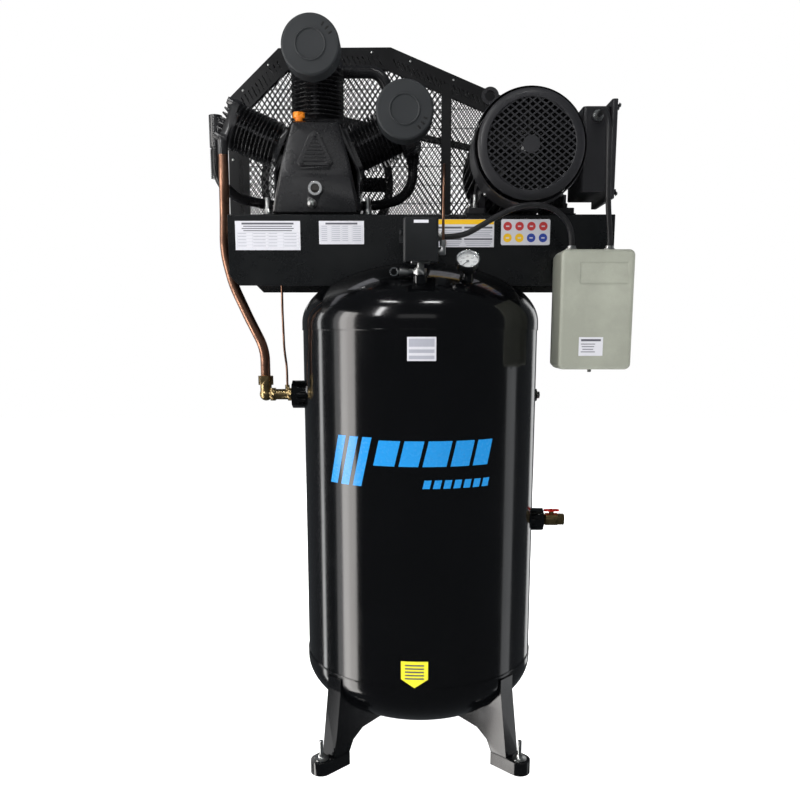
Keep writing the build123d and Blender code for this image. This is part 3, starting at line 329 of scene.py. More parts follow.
def soft_metal(name, colour, stain, roughness=0.24, patch_scale=26.0):
    """Copper or brass that has begun to tarnish."""
    paint = Paint(name, colour, 0.0004, metallic=1.0, roughness=roughness)
    tarnish = paint.patches(patch_scale, 0.4, 0.66, 6.0)
    spots = paint.patches(190.0, 0.6, 0.7, 3.0)
    drawn = paint.noise(5.0, 3.0, 0.6, paint.stretched(220, 220, 14))
    paint.tones((tarnish * 0.65 + spots * 0.3 + drawn * 0.12).held(), colour, stain)
    paint.feed("Roughness", (roughness + tarnish * 0.14 + spots * 0.12).held())
    paint.relief(drawn + spots * 0.4, 0.1, 0.0003)
    return paint.material


def rubbery(name, colour, roughness=0.52):
    """Black rubber with a greyish bloom."""
    paint = Paint(name, colour, roughness=roughness)
    bloom = paint.patches(40.0)
    paint.tones(bloom * 0.4, colour, shade(colour, 2.0))
    paint.feed("Roughness", (roughness - 0.08 + bloom * 0.2).held())
    paint.relief(paint.noise(600.0, 2.0), 0.15, 0.0003)
    return paint.material


def clear_glass(name, colour, alpha):
    """Thin clear glass or acrylic with a faint film of dirt."""
    paint = Paint(name, colour, roughness=0.04, alpha=alpha, coat_weight=1.0)
    film = paint.patches(60.0)
    paint.feed("Roughness", (0.03 + film * 0.08).held())
    paint.feed("Alpha", (alpha + film * 0.08).held())
    return paint.material


def printed(name, colour, roughness=0.32):
    """Printed vinyl or paper: faint mottling and a dusty film."""
    paint = Paint(name, colour, roughness=roughness, coat_weight=0.2)
    mottle = paint.patches(130.0, 0.35, 0.75)
    paint.tones(mottle * 0.3, colour, shade(colour, 0.86))
    paint.feed("Roughness", (roughness - 0.04 + mottle * 0.12).held())
    paint.relief(paint.noise(240.0, 2.0), 0.05, 0.0002)
    return paint.material


FINISHES = {}


def mix_finishes(scene):
    """Make every finish once."""
    tank = scene.compressor_tank
    tones = scene.compressor_finish
    enamel = tuple(tank.colour)
    casting = tuple(tones.casting)
    motor = tuple(tones.motor)
    FINISHES["tank_paint"] = gloss_enamel("gloss_black", enamel)
    FINISHES["leg_paint"] = gloss_enamel("gloss_black_legs", shade(enamel, 1.3), 0.0012)
    FINISHES["deck_paint"] = satin_enamel("deck_enamel", (0.0035, 0.004, 0.0045), 0.3, 0.1, 0.0012)
    FINISHES["casting"] = painted_casting("casting_paint", casting)
    FINISHES["pipe_paint"] = satin_enamel("pipe_enamel", casting, 0.28, 0.1, 0.0)
    FINISHES["motor_paint"] = satin_enamel("motor_enamel", motor, 0.46, 0.22)
    FINISHES["guard_paint"] = satin_enamel("guard_enamel", (0.003, 0.003, 0.0035), 0.34, 0.14, 0.0005)
    FINISHES["filter_plastic"] = moulded("filter_plastic", tuple(tones.filters), 0.52)
    FINISHES["fan_plastic"] = moulded("fan_plastic", (0.006, 0.006, 0.006), 0.5)
    FINISHES["switch_plastic"] = moulded("switch_plastic", (0.009, 0.010, 0.011), 0.42)
    FINISHES["plug_plastic"] = moulded("plug_plastic", (0.85, 0.24, 0.015), 0.34, 0.08)
    FINISHES["conduit_rubber"] = rubbery("conduit_rubber", (0.011, 0.011, 0.012), 0.42)
    FINISHES["belt_rubber"] = rubbery("belt_rubber", (0.012, 0.012, 0.012), 0.6)
    FINISHES["starter_paint"] = satin_enamel("starter_enamel", tuple(tones.starter), 0.42, 0.12, 0.001)
    FINISHES["zinc"] = plated("zinc", (0.70, 0.71, 0.70), 0.3)
    FINISHES["steel"] = plated("ground_steel", (0.52, 0.53, 0.54), 0.24, (400, 60, 400))
    FINISHES["alloy"] = plated("cast_alloy", (0.74, 0.75, 0.76), 0.36, (90, 90, 90))
    FINISHES["chrome"] = plated("chrome", (0.86, 0.87, 0.88), 0.12, (30, 30, 30))
    FINISHES["sight_glass"] = clear_glass("sight_glass", (0.012, 0.010, 0.008), 0.92)
    FINISHES["gauge_glass"] = clear_glass("gauge_glass", (0.9, 0.92, 0.94), 0.12)
    FINISHES["copper"] = soft_metal("copper", (0.50, 0.27, 0.18), (0.14, 0.08, 0.06), 0.3)
    FINISHES["brass"] = soft_metal("brass", (0.62, 0.46, 0.22), (0.22, 0.16, 0.08), 0.27, 60.0)
    FINISHES["needle_paint"] = printed("needle_black", (0.01, 0.01, 0.01))
    FINISHES["handle_paint"] = moulded("handle_red", (0.50, 0.012, 0.008), 0.3, 0.06)
    FINISHES["label_white"] = printed("label_white", (0.62, 0.62, 0.66))
    FINISHES["label_grey"] = printed("label_grey", (0.10, 0.10, 0.12))
    FINISHES["label_pale"] = printed("label_pale", (0.36, 0.37, 0.42))
    FINISHES["label_yellow"] = printed("label_yellow", (0.85, 0.50, 0.01))
    FINISHES["label_lemon"] = printed("label_lemon", (0.86, 0.80, 0.02))
    FINISHES["label_blue"] = printed("label_blue", (0.02, 0.05, 0.32))
    FINISHES["label_red"] = printed("label_red", (0.50, 0.04, 0.04))
    FINISHES["stripe_blue"] = printed("stripe_blue", tuple(tank.mark_colour), 0.25)
    FINISHES["dial_white"] = printed("dial_white", (0.72, 0.73, 0.72), 0.4)


# ---------------------------------------------------------------- mesh helpers


def put(name, bm, materials, body="frame", replaces=(), sharp=SMOOTH_ANGLE):
    """Turn a finished bmesh into a piece that rides on a CAD body."""
    mesh = bpy.data.meshes.new(name)
    bm.to_mesh(mesh)
    bm.free()
    mesh.shade_smooth()
    mesh.set_sharp_from_angle(angle=math.radians(sharp))
    for material in materials:
        mesh.materials.append(FINISHES[material])
    piece = bpy.data.objects.new(name, mesh)
    bpy.context.scene.collection.objects.link(piece)
    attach(piece, body)
    weighted = piece.modifiers.new("weighted", "WEIGHTED_NORMAL")
    weighted.keep_sharp = True
    if replaces:
        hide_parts(*replaces)
    return piece


def merge(bm, part, matrix=None, material=0):
    """Move a small bmesh into place and join it to a bigger one."""
    if matrix is not None:
        bmesh.ops.transform(part, matrix=matrix, verts=part.verts)
    for face in part.faces:
        face.material_index = material
    store = bpy.data.meshes.new("loose")
    part.to_mesh(store)
    part.free()
    bm.from_mesh(store)
    bpy.data.meshes.remove(store)


def facing(axis, centre):
    """The matrix that stands local Z along an axis at a centre."""
    turn = Vector((0, 0, 1)).rotation_difference(Vector(axis))
    return Matrix.Translation(centre) @ turn.to_matrix().to_4x4()


def spin_profile(bm, profile, steps, axis=(0, 0, 1), centre=(0, 0, 0), closed=False, material=0):
    """Spin (radius, height) points about an axis and add the closed turned shape."""
    part = bmesh.new()
    verts = [part.verts.new((radius, 0.0, height)) for radius, height in profile]
    pairs = list(zip(verts, verts[1:]))
    if closed:
        pairs.append((verts[-1], verts[0]))
    edges = [part.edges.new(pair) for pair in pairs]
    bmesh.ops.spin(
        part, geom=verts + edges, cent=(0, 0, 0), axis=(0, 0, 1), angle=math.tau, steps=steps, use_merge=True
    )
    bmesh.ops.remove_doubles(part, verts=part.verts, dist=1e-6)
    bmesh.ops.dissolve_degenerate(part, edges=part.edges, dist=1e-7)
    bmesh.ops.recalc_face_normals(part, faces=part.faces)
    merge(bm, part, facing(axis, centre), material)


def add_ring(bm, ring_radius, bead_radius, centre, axis=(0, 0, 1), steps=64, sides=8, material=0):
    """A round ring, such as a weld bead or a fin, spun about an axis."""
    around = [math.tau * k / sides for k in range(sides)]
    profile = [(ring_radius + bead_radius * math.cos(a), bead_radius * math.sin(a)) for a in around]
    spin_profile(bm, profile, steps, axis, centre, closed=True, material=material)


def add_block(bm, centre, size, bevel=0.0, turn=None, material=0):
    """A block with softened edges."""
    part = bmesh.new()
    bmesh.ops.create_cube(part, size=1.0)
    bmesh.ops.scale(part, vec=size, verts=part.verts)
    if bevel:
        bmesh.ops.bevel(
            part, geom=part.edges[:], offset=bevel, segments=2, profile=0.5, affect="EDGES", material=-1
        )
    matrix = Matrix.Translation(centre) @ (turn.to_4x4() if turn else Matrix.Identity(4))
    merge(bm, part, matrix, material)


def add_screw(bm, centre, axis, radius, height, sides=6, material=0):
    """A hexagon head with a chamfered crown on a thin washer."""
    part = bmesh.new()
    bmesh.ops.create_cone(
        part, cap_ends=True, segments=20, radius1=radius * 1.45, radius2=radius * 1.4, depth=height * 0.2,
        matrix=Matrix.Translation((0, 0, height * 0.1)),
    )
    bmesh.ops.create_cone(
        part, cap_ends=True, segments=sides, radius1=radius, radius2=radius, depth=height * 0.7,
        matrix=Matrix.Translation((0, 0, height * 0.55)),
    )
    bmesh.ops.create_cone(
        part, cap_ends=True, segments=sides, radius1=radius, radius2=radius * 0.82, depth=height * 0.1,
        matrix=Matrix.Translation((0, 0, height * 0.95)),
    )
    merge(bm, part, facing(axis, centre), material)


def grid_patch(width, height, across, up):
    """A flat grid in its own XY plane, centred on the origin."""
    part = bmesh.new()
    bmesh.ops.create_grid(part, x_segments=across, y_segments=up, size=0.5)
    bmesh.ops.scale(part, vec=(width, height, 1.0), verts=part.verts)
    return part


def trim(part, corners):
    """Cut a flat patch in XY to a convex outline that runs anticlockwise."""
    for (x0, y0), (x1, y1) in zip(corners, corners[1:] + corners[:1]):
        bmesh.ops.bisect_plane(
            part, geom=part.verts[:] + part.edges[:] + part.faces[:],
            plane_co=(x0, y0, 0), plane_no=(y1 - y0, x0 - x1, 0), clear_outer=True,
        )


def thicken(part, depth):
    """Give a flat patch facing +Z a body below its face."""
    made = bmesh.ops.extrude_face_region(part, geom=part.faces[:])["geom"]
    verts = [item for item in made if isinstance(item, bmesh.types.BMVert)]
    bmesh.ops.translate(part, vec=(0, 0, depth), verts=verts)
    bmesh.ops.recalc_face_normals(part, faces=part.faces)


# ---------------------------------------------------------------- the stage
def soft_light(name, place, target, size, energy, tint=(1.0, 1.0, 1.0), mirrored=True):
    """A rectangular soft light that looks at a point, and that gloss may or may not show."""
    data = bpy.data.lights.new(name, "AREA")
    data.shape = "RECTANGLE"
    data.size, data.size_y = size
    data.energy = energy
    data.color = tint
    lamp = bpy.data.objects.new(name, data)
    bpy.context.scene.collection.objects.link(lamp)
    lamp.location = place
    lamp.rotation_euler = (Vector(target) - Vector(place)).to_track_quat("-Z", "Y").to_euler()
    lamp.visible_glossy = mirrored


class COMPRESSOR_OT_stage(bpy.types.Operator):
    """Pale floor, soft studio lights, world and camera"""

    bl_idname = "compressor.stage"
    bl_label = "Stage"

    def execute(self, context):
        camera = bpy.data.objects.new("camera", bpy.data.cameras.new("camera"))
        context.scene.collection.objects.link(camera)
        camera.location = (-0.052, -2.1, 1.106)
        camera.rotation_euler = (math.radians(90 - 9.57), 0, 0)
        camera.data.sensor_width = 36
        camera.data.lens = 35.37
        camera.data.shift_y = 0.08
        context.scene.camera = camera
        context.scene.view_settings.view_transform = "Standard"

        floor = bpy.data.objects.new("floor", bpy.data.meshes.new("floor"))
        bm = grid_patch(16.0, 16.0, 1, 1)
        bm.to_mesh(floor.data)
        bm.free()
        ground = Paint("floor", (0.8, 0.8, 0.8), roughness=0.9, emission_strength=1.0)
        ground.shader.inputs["Emission Color"].default_value = (1.0, 1.0, 1.0, 1.0)
        ground.tones(ground.patches(3.0), (0.8, 0.8, 0.8), (0.78, 0.78, 0.78))
        floor.data.materials.append(ground.material)
        floor.visible_glossy = False
        context.scene.collection.objects.link(floor)

        world = bpy.data.worlds.new("studio")
        world.use_nodes = True
        tree = world.node_tree
        tree.nodes.clear()
        out = tree.nodes.new("ShaderNodeOutputWorld")
        seen = tree.nodes.new("ShaderNodeBackground")
        seen.inputs["Color"].default_value = (1.0, 1.0, 1.0, 1.0)
        seen.inputs["Strength"].default_value = 1.0
        around = tree.nodes.new("ShaderNodeBackground")
        around.inputs["Color"].default_value = (0.86, 0.93, 1.0, 1.0)
        around.inputs["Strength"].default_value = 0.06
        path = tree.nodes.new("ShaderNodeLightPath")
        choose = tree.nodes.new("ShaderNodeMixShader")
        tree.links.new(path.outputs["Is Camera Ray"], choose.inputs[0])
        tree.links.new(around.outputs[0], choose.inputs[1])
        tree.links.new(seen.outputs[0], choose.inputs[2])
        tree.links.new(choose.outputs[0], out.inputs["Surface"])
        context.scene.world = world

        soft_light("window_left", (-2.6, -0.95, 0.3), (-0.2, -0.2, 0.3), (0.8, 4.2), 52, (1.0, 0.97, 0.94))
        soft_light("window_side", (-2.5, -0.55, 0.6), (-0.2, -0.2, 0.6), (0.7, 3.6), 9)
        soft_light("window_slit", (-2.2, 0.62, 0.3), (-0.3, -0.1, 0.3), (0.2, 4.2), 9)
        soft_light("window_right", (2.6, 0.1, 0.3), (0.25, -0.1, 0.3), (0.6, 4.2), 6, (0.96, 0.98, 1.0))
        soft_light("tube_left", (-0.9, -1.0, 3.1), (-0.2, 0.0, 1.3), (0.5, 0.05), 3)
        soft_light("tube_right", (0.35, -1.3, 3.2), (0.1, 0.0, 1.3), (0.5, 0.06), 4)
        soft_light("pump_glint", (-1.7, -2.0, 2.7), (0.0, 0.0, 1.55), (0.25, 1.3), 16)
        soft_light("ceiling", (0.1, -1.3, 3.6), (0.0, 0.0, 1.2), (2.2, 1.5), 30, mirrored=False)
        soft_light("front_fill", (-0.9, -4.2, 2.2), (0.0, 0.0, 1.1), (2.6, 2.2), 50, mirrored=False)
        soft_light("rear_fill", (0.6, 3.6, 2.4), (0.0, 0.0, 1.2), (2.4, 1.4), 130, mirrored=False)
        soft_light("rear_sheen", (-0.5, 4.2, 2.2), (0.0, 0.0, 1.5), (2.4, 1.2), 9)
        soft_light("right_fill", (3.4, 0.9, 2.2), (0.2, 0.0, 1.2), (1.6, 1.4), 60, mirrored=False)
        soft_light("left_fill", (-3.4, 1.1, 2.2), (-0.2, 0.0, 1.2), (1.6, 1.4), 40, mirrored=False)
        soft_light("rear_window", (2.0, 2.6, 0.6), (0.1, 0.2, 0.6), (0.7, 3.6), 8)
        soft_light("face_sheen", (-0.3, -4.2, 2.5), (0.0, 0.0, 1.6), (2.6, 0.9), 3.2)
        return {"FINISHED"}


# ---------------------------------------------------------------- cords
SWITCH_CONDUIT = (
    (0.050, -0.222, 1.322),
    (0.090, -0.222, 1.322),
    (0.130, -0.227, 1.343),
    (0.172, -0.229, 1.368),
    (0.215, -0.225, 1.388),
    (0.257, -0.217, 1.395),
    (0.292, -0.208, 1.391),
    (0.321, -0.201, 1.377),
    (0.341, -0.197, 1.355),
    (0.351, -0.195, 1.329),
    (0.351, -0.195, 1.304),
)
MOTOR_CONDUIT = (
    (0.419, -0.134, 1.612),
    (0.419, -0.172, 1.612),
    (0.419, -0.207, 1.592),
    (0.419, -0.227, 1.557),
    (0.420, -0.229, 1.514),
    (0.423, -0.224, 1.462),
    (0.427, -0.214, 1.410),
    (0.434, -0.202, 1.364),
    (0.440, -0.195, 1.330),
    (0.440, -0.195, 1.304),
)
CONDUIT = 0.013


def lay_conduit(name, node, route):
    """A rubber-jacketed conduit between two glands, along one smooth line."""
    curve = bpy.data.curves.new(name, "CURVE")
    curve.dimensions = "3D"
    curve.resolution_u = 16
    curve.bevel_depth = CONDUIT / 2
    curve.bevel_resolution = 6
    curve.use_fill_caps = True
    spline = curve.splines.new("NURBS")
    spline.points.add(len(route) - 1)
    for control, point in zip(spline.points, route):
        control.co = (*point, 1.0)
    spline.order_u = 3
    spline.use_endpoint_u = True
    curve.materials.append(FINISHES["conduit_rubber"])
    cord = bpy.data.objects.new(name, curve)
    bpy.context.scene.collection.objects.link(cord)
    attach(cord, "frame")
    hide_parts(node)


class COMPRESSOR_OT_conduits(bpy.types.Operator):
    """The two conduits into the starter"""

    bl_idname = "compressor.conduits"
    bl_label = "Conduits"

    def execute(self, context):
        lay_conduit("switch_lead", "conduit_switch", SWITCH_CONDUIT)
        lay_conduit("motor_lead", "conduit_motor", MOTOR_CONDUIT)
        return {"FINISHED"}


# ---------------------------------------------------------------- finishes on the CAD nodes
CORDS_AND_GLANDS = ("conduit_switch", "conduit_motor", "conduit_glands")
FLAT_SHEETS = ("deck", "guard_rim", "guard_meshes")
RECEIVER = ("tank_shell", "tank_head_top", "tank_head_bottom")
KEPT_CAD = (*CORDS_AND_GLANDS, *FLAT_SHEETS, *RECEIVER)
PLATED_NODES = {"switch_fittings": "zinc", "safety_valve": "zinc"}


class COMPRESSOR_OT_finishes(bpy.types.Operator):
    """Mix every finish, put it on the CAD nodes and give the round ones smooth faces"""

    bl_idname = "compressor.finishes"
    bl_label = "Finishes"

    def execute(self, context):
        mix_finishes(context.scene)
        for name, node in NODES.items():
            node.data.materials.clear()
            slot = PLATED_NODES.get(name, SLOT_OF[name])
            node.data.materials.append(FINISHES[slot])
            if name in KEPT_CAD:
                continue
            bm = bmesh.new()
            bm.from_mesh(node.data)
            bmesh.ops.remove_doubles(bm, verts=bm.verts, dist=MERGE)
            put(f"{name}_finished", bm, [slot], BODY_OF[name], (name,))
        return {"FINISHED"}


# ---------------------------------------------------------------- the receiver
TANK_WALL = 0.004
HEAD_POINTS = 28


def head_profile(flip):
    """Radius and height along a domed head, from its crest out to its skirt and back inside."""
    tangent = SEAM_HIGH + HEAD_SKIRT
    outside, inside = [], []
    for step in range(HEAD_POINTS + 1):
        angle = math.pi / 2 * step / HEAD_POINTS
        for points, wall in ((outside, 0.0), (inside, TANK_WALL)):
            radius = (HEAD_R - wall) * math.sin(angle)
            points.append((radius, tangent + (HEAD_DEPTH - wall) * math.cos(angle)))
    profile = outside + [(HEAD_R, SEAM_HIGH), (HEAD_R - TANK_WALL, SEAM_HIGH)] + inside[::-1]
    if flip:
        profile = [(radius, SEAM_LOW + SEAM_HIGH - height) for radius, height in profile]
    return profile


def ripple(bm, waves, depth):
    """Push a weld bead's faces in and out like overlapping puddles."""
    for vert in bm.verts:
        wave = abs(math.sin(math.atan2(vert.co.y, vert.co.x) * waves / 2))
        vert.co.xy = vert.co.xy * (1 + depth * (wave - 1) / max(vert.co.xy.length, 1e-6))


class COMPRESSOR_OT_receiver(bpy.types.Operator):
    """Smooth shell and heads with weld beads at the seams"""

    bl_idname = "compressor.receiver"
    bl_label = "Receiver"

    def execute(self, context):
        tank = context.scene.compressor_tank
        bm = bmesh.new()
        inner = SHELL_R - TANK_WALL
        wall = [(SHELL_R, SEAM_LOW), (SHELL_R, SEAM_HIGH), (inner, SEAM_HIGH), (inner, SEAM_LOW)]
        spin_profile(bm, wall, tank.steps, closed=True)
        put("shell_skin", bm, ["tank_paint"], replaces=("tank_shell",))
        heads = (("head_skin_top", "tank_head_top", False), ("head_skin_low", "tank_head_bottom", True))
        for name, node, flip in heads:
            bm = bmesh.new()
            spin_profile(bm, head_profile(flip), tank.steps)
            put(name, bm, ["tank_paint"], replaces=(node,))
        bm = bmesh.new()
        for seam, side in ((SEAM_LOW, 1), (SEAM_HIGH, -1)):
            add_ring(bm, SHELL_R + 0.0004, tank.bead, (0, 0, seam + side * 0.001), steps=520, sides=6)
        ripple(bm, 260, 0.0005)
        put("seam_welds", bm, ["tank_paint"], sharp=60)
        return {"FINISHED"}


# ---------------------------------------------------------------- marks on the shell
FILM = 0.0003
BAND_STEP = 0.009


def shell_patch(bm, corners, lift=0.0, material=0):
    """A thin patch on the shell: corners are arc lengths from the front centre and heights."""
    across = [corner[0] for corner in corners]
    heights = [corner[1] for corner in corners]
    centre = Vector(((max(across) + min(across)) / 2, (max(heights) + min(heights)) / 2, 0))
    width, height = max(across) - min(across), max(heights) - min(heights)
    part = grid_patch(width, height, max(1, math.ceil(width / BAND_STEP)), 1)
    bmesh.ops.translate(part, vec=centre, verts=part.verts)
    trim(part, list(corners))
    thicken(part, FILM)
    for vert in part.verts:
        radius = SHELL_R + 0.00005 + lift + vert.co.z
        angle = vert.co.x / SHELL_R
        vert.co = Vector((radius * math.sin(angle), -radius * math.cos(angle), vert.co.y))
    bmesh.ops.recalc_face_normals(part, faces=part.faces)
    merge(bm, part, material=material)


def slanted(start, end, bottom, top, lean=0.24):
    """The corners of a bar that leans to the right."""
    shift = (top - bottom) * lean
    return ((start, bottom), (end, bottom), (end + shift, top), (start + shift, top))


class COMPRESSOR_OT_marks(bpy.types.Operator):
    """Plain blue stripes, a small plain sticker and a plain yellow arrow on the shell"""

    bl_idname = "compressor.marks"
    bl_label = "Marks"

    def execute(self, context):
        bm = bmesh.new()
        for step in range(3):
            start = -0.246 + step * 0.036
            shell_patch(bm, slanted(start, start + 0.024, 0.744, 0.862))
        blocks = ((-0.118, 0.052), (-0.056, 0.046), (0.000, 0.056), (0.066, 0.046), (0.122, 0.040))
        for start, width in blocks:
            shell_patch(bm, slanted(start, start + width, 0.796, 0.856))
        for step in range(7):
            start = 0.000 + step * 0.0245
            shell_patch(bm, slanted(start, start + 0.017, 0.744, 0.764))
        put("shell_stripes", bm, ["stripe_blue"])

        bm = bmesh.new()
        shell_patch(bm, ((-0.036, 1.040), (0.030, 1.040), (0.030, 1.094), (-0.036, 1.094)))
        for bottom, top, tone in ((1.044, 1.052, 1), (1.058, 1.066, 1), (1.072, 1.090, 1)):
            shell_patch(bm, ((-0.032, bottom), (0.026, bottom), (0.026, top), (-0.032, top)), FILM, tone)
        put("shell_sticker", bm, ["label_white", "label_pale"])

        bm = bmesh.new()
        arrow = ((-0.050, 0.272), (-0.017, 0.250), (0.016, 0.272), (0.016, 0.318), (-0.050, 0.318))
        shell_patch(bm, arrow)
        for row in range(5):
            height = 0.272 + row * 0.0085
            shell_patch(bm, slanted(-0.040, 0.006, height, height + 0.0035, 0.0), FILM, 1)
        put("shell_arrow", bm, ["label_lemon", "label_grey"])
        return {"FINISHED"}


# ---------------------------------------------------------------- labels on flat faces
TO_FRONT = Matrix.Rotation(math.radians(90), 4, "X")
INK = 0.00012
DOT_SIDES = 20


def add_plate(bm, x0, x1, z0, z1, y, depth=FILM, material=0, corner=0.0):
    """A thin plate on a face that looks along -Y."""
    part = grid_patch(x1 - x0, z1 - z0, 1, 1)
    if corner:
        bmesh.ops.bevel(
            part, geom=part.verts[:], offset=corner, segments=4, profile=0.5, affect="VERTICES", material=-1
        )
    thicken(part, depth)
    merge(bm, part, Matrix.Translation(((x0 + x1) / 2, y, (z0 + z1) / 2)) @ TO_FRONT, material)


def add_lines(bm, x0, x1, z_top, pitch, count, y, thick, material, shorter=0.0):
    """Printed lines as fine raised bars, each a little shorter than the one above."""
    for row in range(count):
        top = z_top - row * pitch
        trimmed = shorter * (row % 3)
        add_plate(bm, x0 + trimmed, x1 - trimmed, top - thick, top, y, INK, material)


def add_dot(bm, x, z, radius, y, material):
    """A printed round dot."""
    turns = [math.tau * step / DOT_SIDES for step in range(DOT_SIDES)]
    part = bmesh.new()
    part.faces.new([part.verts.new((radius * math.sin(a), radius * math.cos(a), 0)) for a in turns[::-1]])
    thicken(part, INK)
    merge(bm, part, Matrix.Translation((x, y, z)) @ TO_FRONT, material)


def table_label(name, x0, x1, z0, z1, columns, rows, headings):
    """A white paper label with headings and a ruled table."""
    bm = bmesh.new()
    face = APRON_Y - FILM
    add_plate(bm, x0, x1, z0, z1, APRON_Y)
    top = z1 - 0.004
    for row in range(headings):
        thick = 0.0045 if row == 0 else 0.0022
        inset = 0.016 + 0.004 * (row % 2)
        add_plate(bm, x0 + inset, x1 - inset, top - thick, top, face, INK, 1)
        top -= thick + 0.003
    table_top, table_low = top, z0 + 0.005
    cell = (x1 - x0 - 0.008) / columns
    pitch = (table_top - table_low) / rows
    for row in range(rows + 1):
        height = table_low + row * pitch
        add_plate(bm, x0 + 0.004, x1 - 0.004, height, height + 0.0004, face, INK, 2)
    for column in range(columns + 1):
        left = x0 + 0.004 + column * cell
        add_plate(bm, left, left + 0.0004, table_low, table_top, face, INK, 2)
    for column in range(columns):
        left = x0 + 0.006 + column * cell
        for row in range(rows):
            height = table_low + (row + 0.55) * pitch
            reach = cell * (0.55 + 0.25 * ((row * 2 + column) % 2))
            add_plate(bm, left, left + reach, height, height + 0.0016, face, INK, 2)
    put(name, bm, ["label_white", "label_grey", "label_pale"])


class COMPRESSOR_OT_labels(bpy.types.Operator):
    """Plain labels on the deck, the starter and the switch"""

    bl_idname = "compressor.labels"
    bl_label = "Labels"

    def execute(self, context):
        table_label("label_table_wide", -0.455, -0.296, 1.303, 1.372, 4, 5, 4)
        table_label("label_table", -0.250, -0.140, 1.317, 1.372, 4, 8, 1)

        bm = bmesh.new()
        face = APRON_Y - FILM
        add_plate(bm, 0.026, 0.178, 1.310, 1.376, APRON_Y)
        add_plate(bm, 0.027, 0.177, 1.364, 1.3755, face, INK, 1)
        for left, right in ((0.030, 0.099), (0.105, 0.174)):
            add_plate(bm, left, right, 1.354, 1.3585, face, INK, 2)
            add_lines(bm, left, right, 1.350, 0.0042, 4, face, 0.0020, 3, 0.003)
            add_plate(bm, left, right, 1.3270, 1.3310, face, INK, 2)
            add_lines(bm, left, right, 1.3235, 0.0042, 3, face, 0.0020, 3, 0.003)
        put("label_notice", bm, ["label_white", "label_yellow", "label_grey", "label_pale"])

        bm = bmesh.new()
        add_plate(bm, 0.195, 0.315, 1.315, 1.376, APRON_Y, corner=0.004)
        for column in range(4):
            for row in range(2):
                x = 0.211 + column * 0.029
                z = 1.3595 - row * 0.0275
                tone = 2 if row and column > 1 else (3 if row else 1)
                add_dot(bm, x, z, 0.0105, face, tone)
                add_plate(bm, x - 0.004, x + 0.004, z - 0.0015, z + 0.0015, face - INK, INK, 0)
        put("label_dots", bm, ["label_white", "label_red", "label_blue", "label_yellow"])

        bm = bmesh.new()
        face = STARTER_FRONT - FILM
        add_plate(bm, 0.364, 0.420, 1.050, 1.093, STARTER_FRONT)
        add_plate(bm, 0.369, 0.415, 1.0835, 1.0885, face, INK, 1)
        add_lines(bm, 0.369, 0.402, 1.078, 0.006, 4, face, 0.0018, 1, 0.002)
        put("label_starter", bm, ["label_white", "label_grey"])

        bm = bmesh.new()
        add_plate(bm, -0.021, 0.012, 1.3465, 1.3530, low("pressure_switch").y)
        put("label_switch", bm, ["label_white"])
        return {"FINISHED"}


# ---------------------------------------------------------------- the belt guard
def guard_outline():
    """The guard's corners in X and Z, anticlockwise seen from the front."""
    left, right = GUARD_LOW.x, GUARD_HIGH.x
    bottom, top = GUARD_LOW.z, GUARD_HIGH.z
    return [
        (left, bottom),
        (right, bottom),
        (right, top - 0.196),
        (left + 0.463, top),
        (left + 0.150, top - 0.002),
        (left + 0.003, top - 0.138),
    ]


def outline_span(height):
    """Where a level line crosses the guard's outline."""
    corners = guard_outline()
    crossings = []
    for (x0, z0), (x1, z1) in zip(corners, corners[1:] + corners[:1]):
        if (z0 - height) * (z1 - height) < 0:
            crossings.append(x0 + (x1 - x0) * (height - z0) / (z1 - z0))
    return min(crossings), max(crossings)


def diamond_sheet(y, holes):
    """A sheet of expanded metal: a square grid turned and stretched, with its cells cut out."""
    guard = bpy.context.scene.compressor_guard
    corners = guard_outline()
    centre = Vector(((GUARD_LOW.x + GUARD_HIGH.x) / 2, (GUARD_LOW.z + GUARD_HIGH.z) / 2, 0))
    across = (GUARD_HIGH.x - GUARD_LOW.x) / guard.cell_width
    up = (GUARD_HIGH.z - GUARD_LOW.z) / guard.cell_height
    cells = math.ceil(across + up)
    sheet = grid_patch(1.0, 1.0, cells, cells)
    turn = Matrix.Rotation(math.radians(45), 4, "Z")
    diagonal = math.sqrt(2) / cells
    stretch = Matrix.Diagonal((guard.cell_width / diagonal, guard.cell_height / diagonal, 1, 1))
    bmesh.ops.transform(sheet, matrix=Matrix.Translation(centre) @ stretch @ turn, verts=sheet.verts)
    trim(sheet, corners)
    cut = []
    for face in sheet.faces:
        spot = face.calc_center_median()
        if any((spot.xy - Vector((x, z))).length < radius for x, z, radius in holes):
            cut.append(face)
        elif face.calc_area() < guard.cell_width * guard.cell_height * 0.06:
            cut.append(face)
    bmesh.ops.delete(sheet, geom=cut, context="FACES")
    openings = sheet.faces[:]
    bmesh.ops.inset_individual(sheet, faces=openings, thickness=guard.strand, use_even_offset=True)
    for opening in openings:
        level = opening.calc_center_median().y
        for vert in opening.verts:
            vert.co.z += guard.twist if vert.co.y > level else -guard.twist
    bmesh.ops.delete(sheet, geom=openings, context="FACES")
    thicken(sheet, guard.sheet)
    bm = bmesh.new()
    merge(bm, sheet, Matrix.Translation((0, y, 0)) @ TO_FRONT)
    return bm


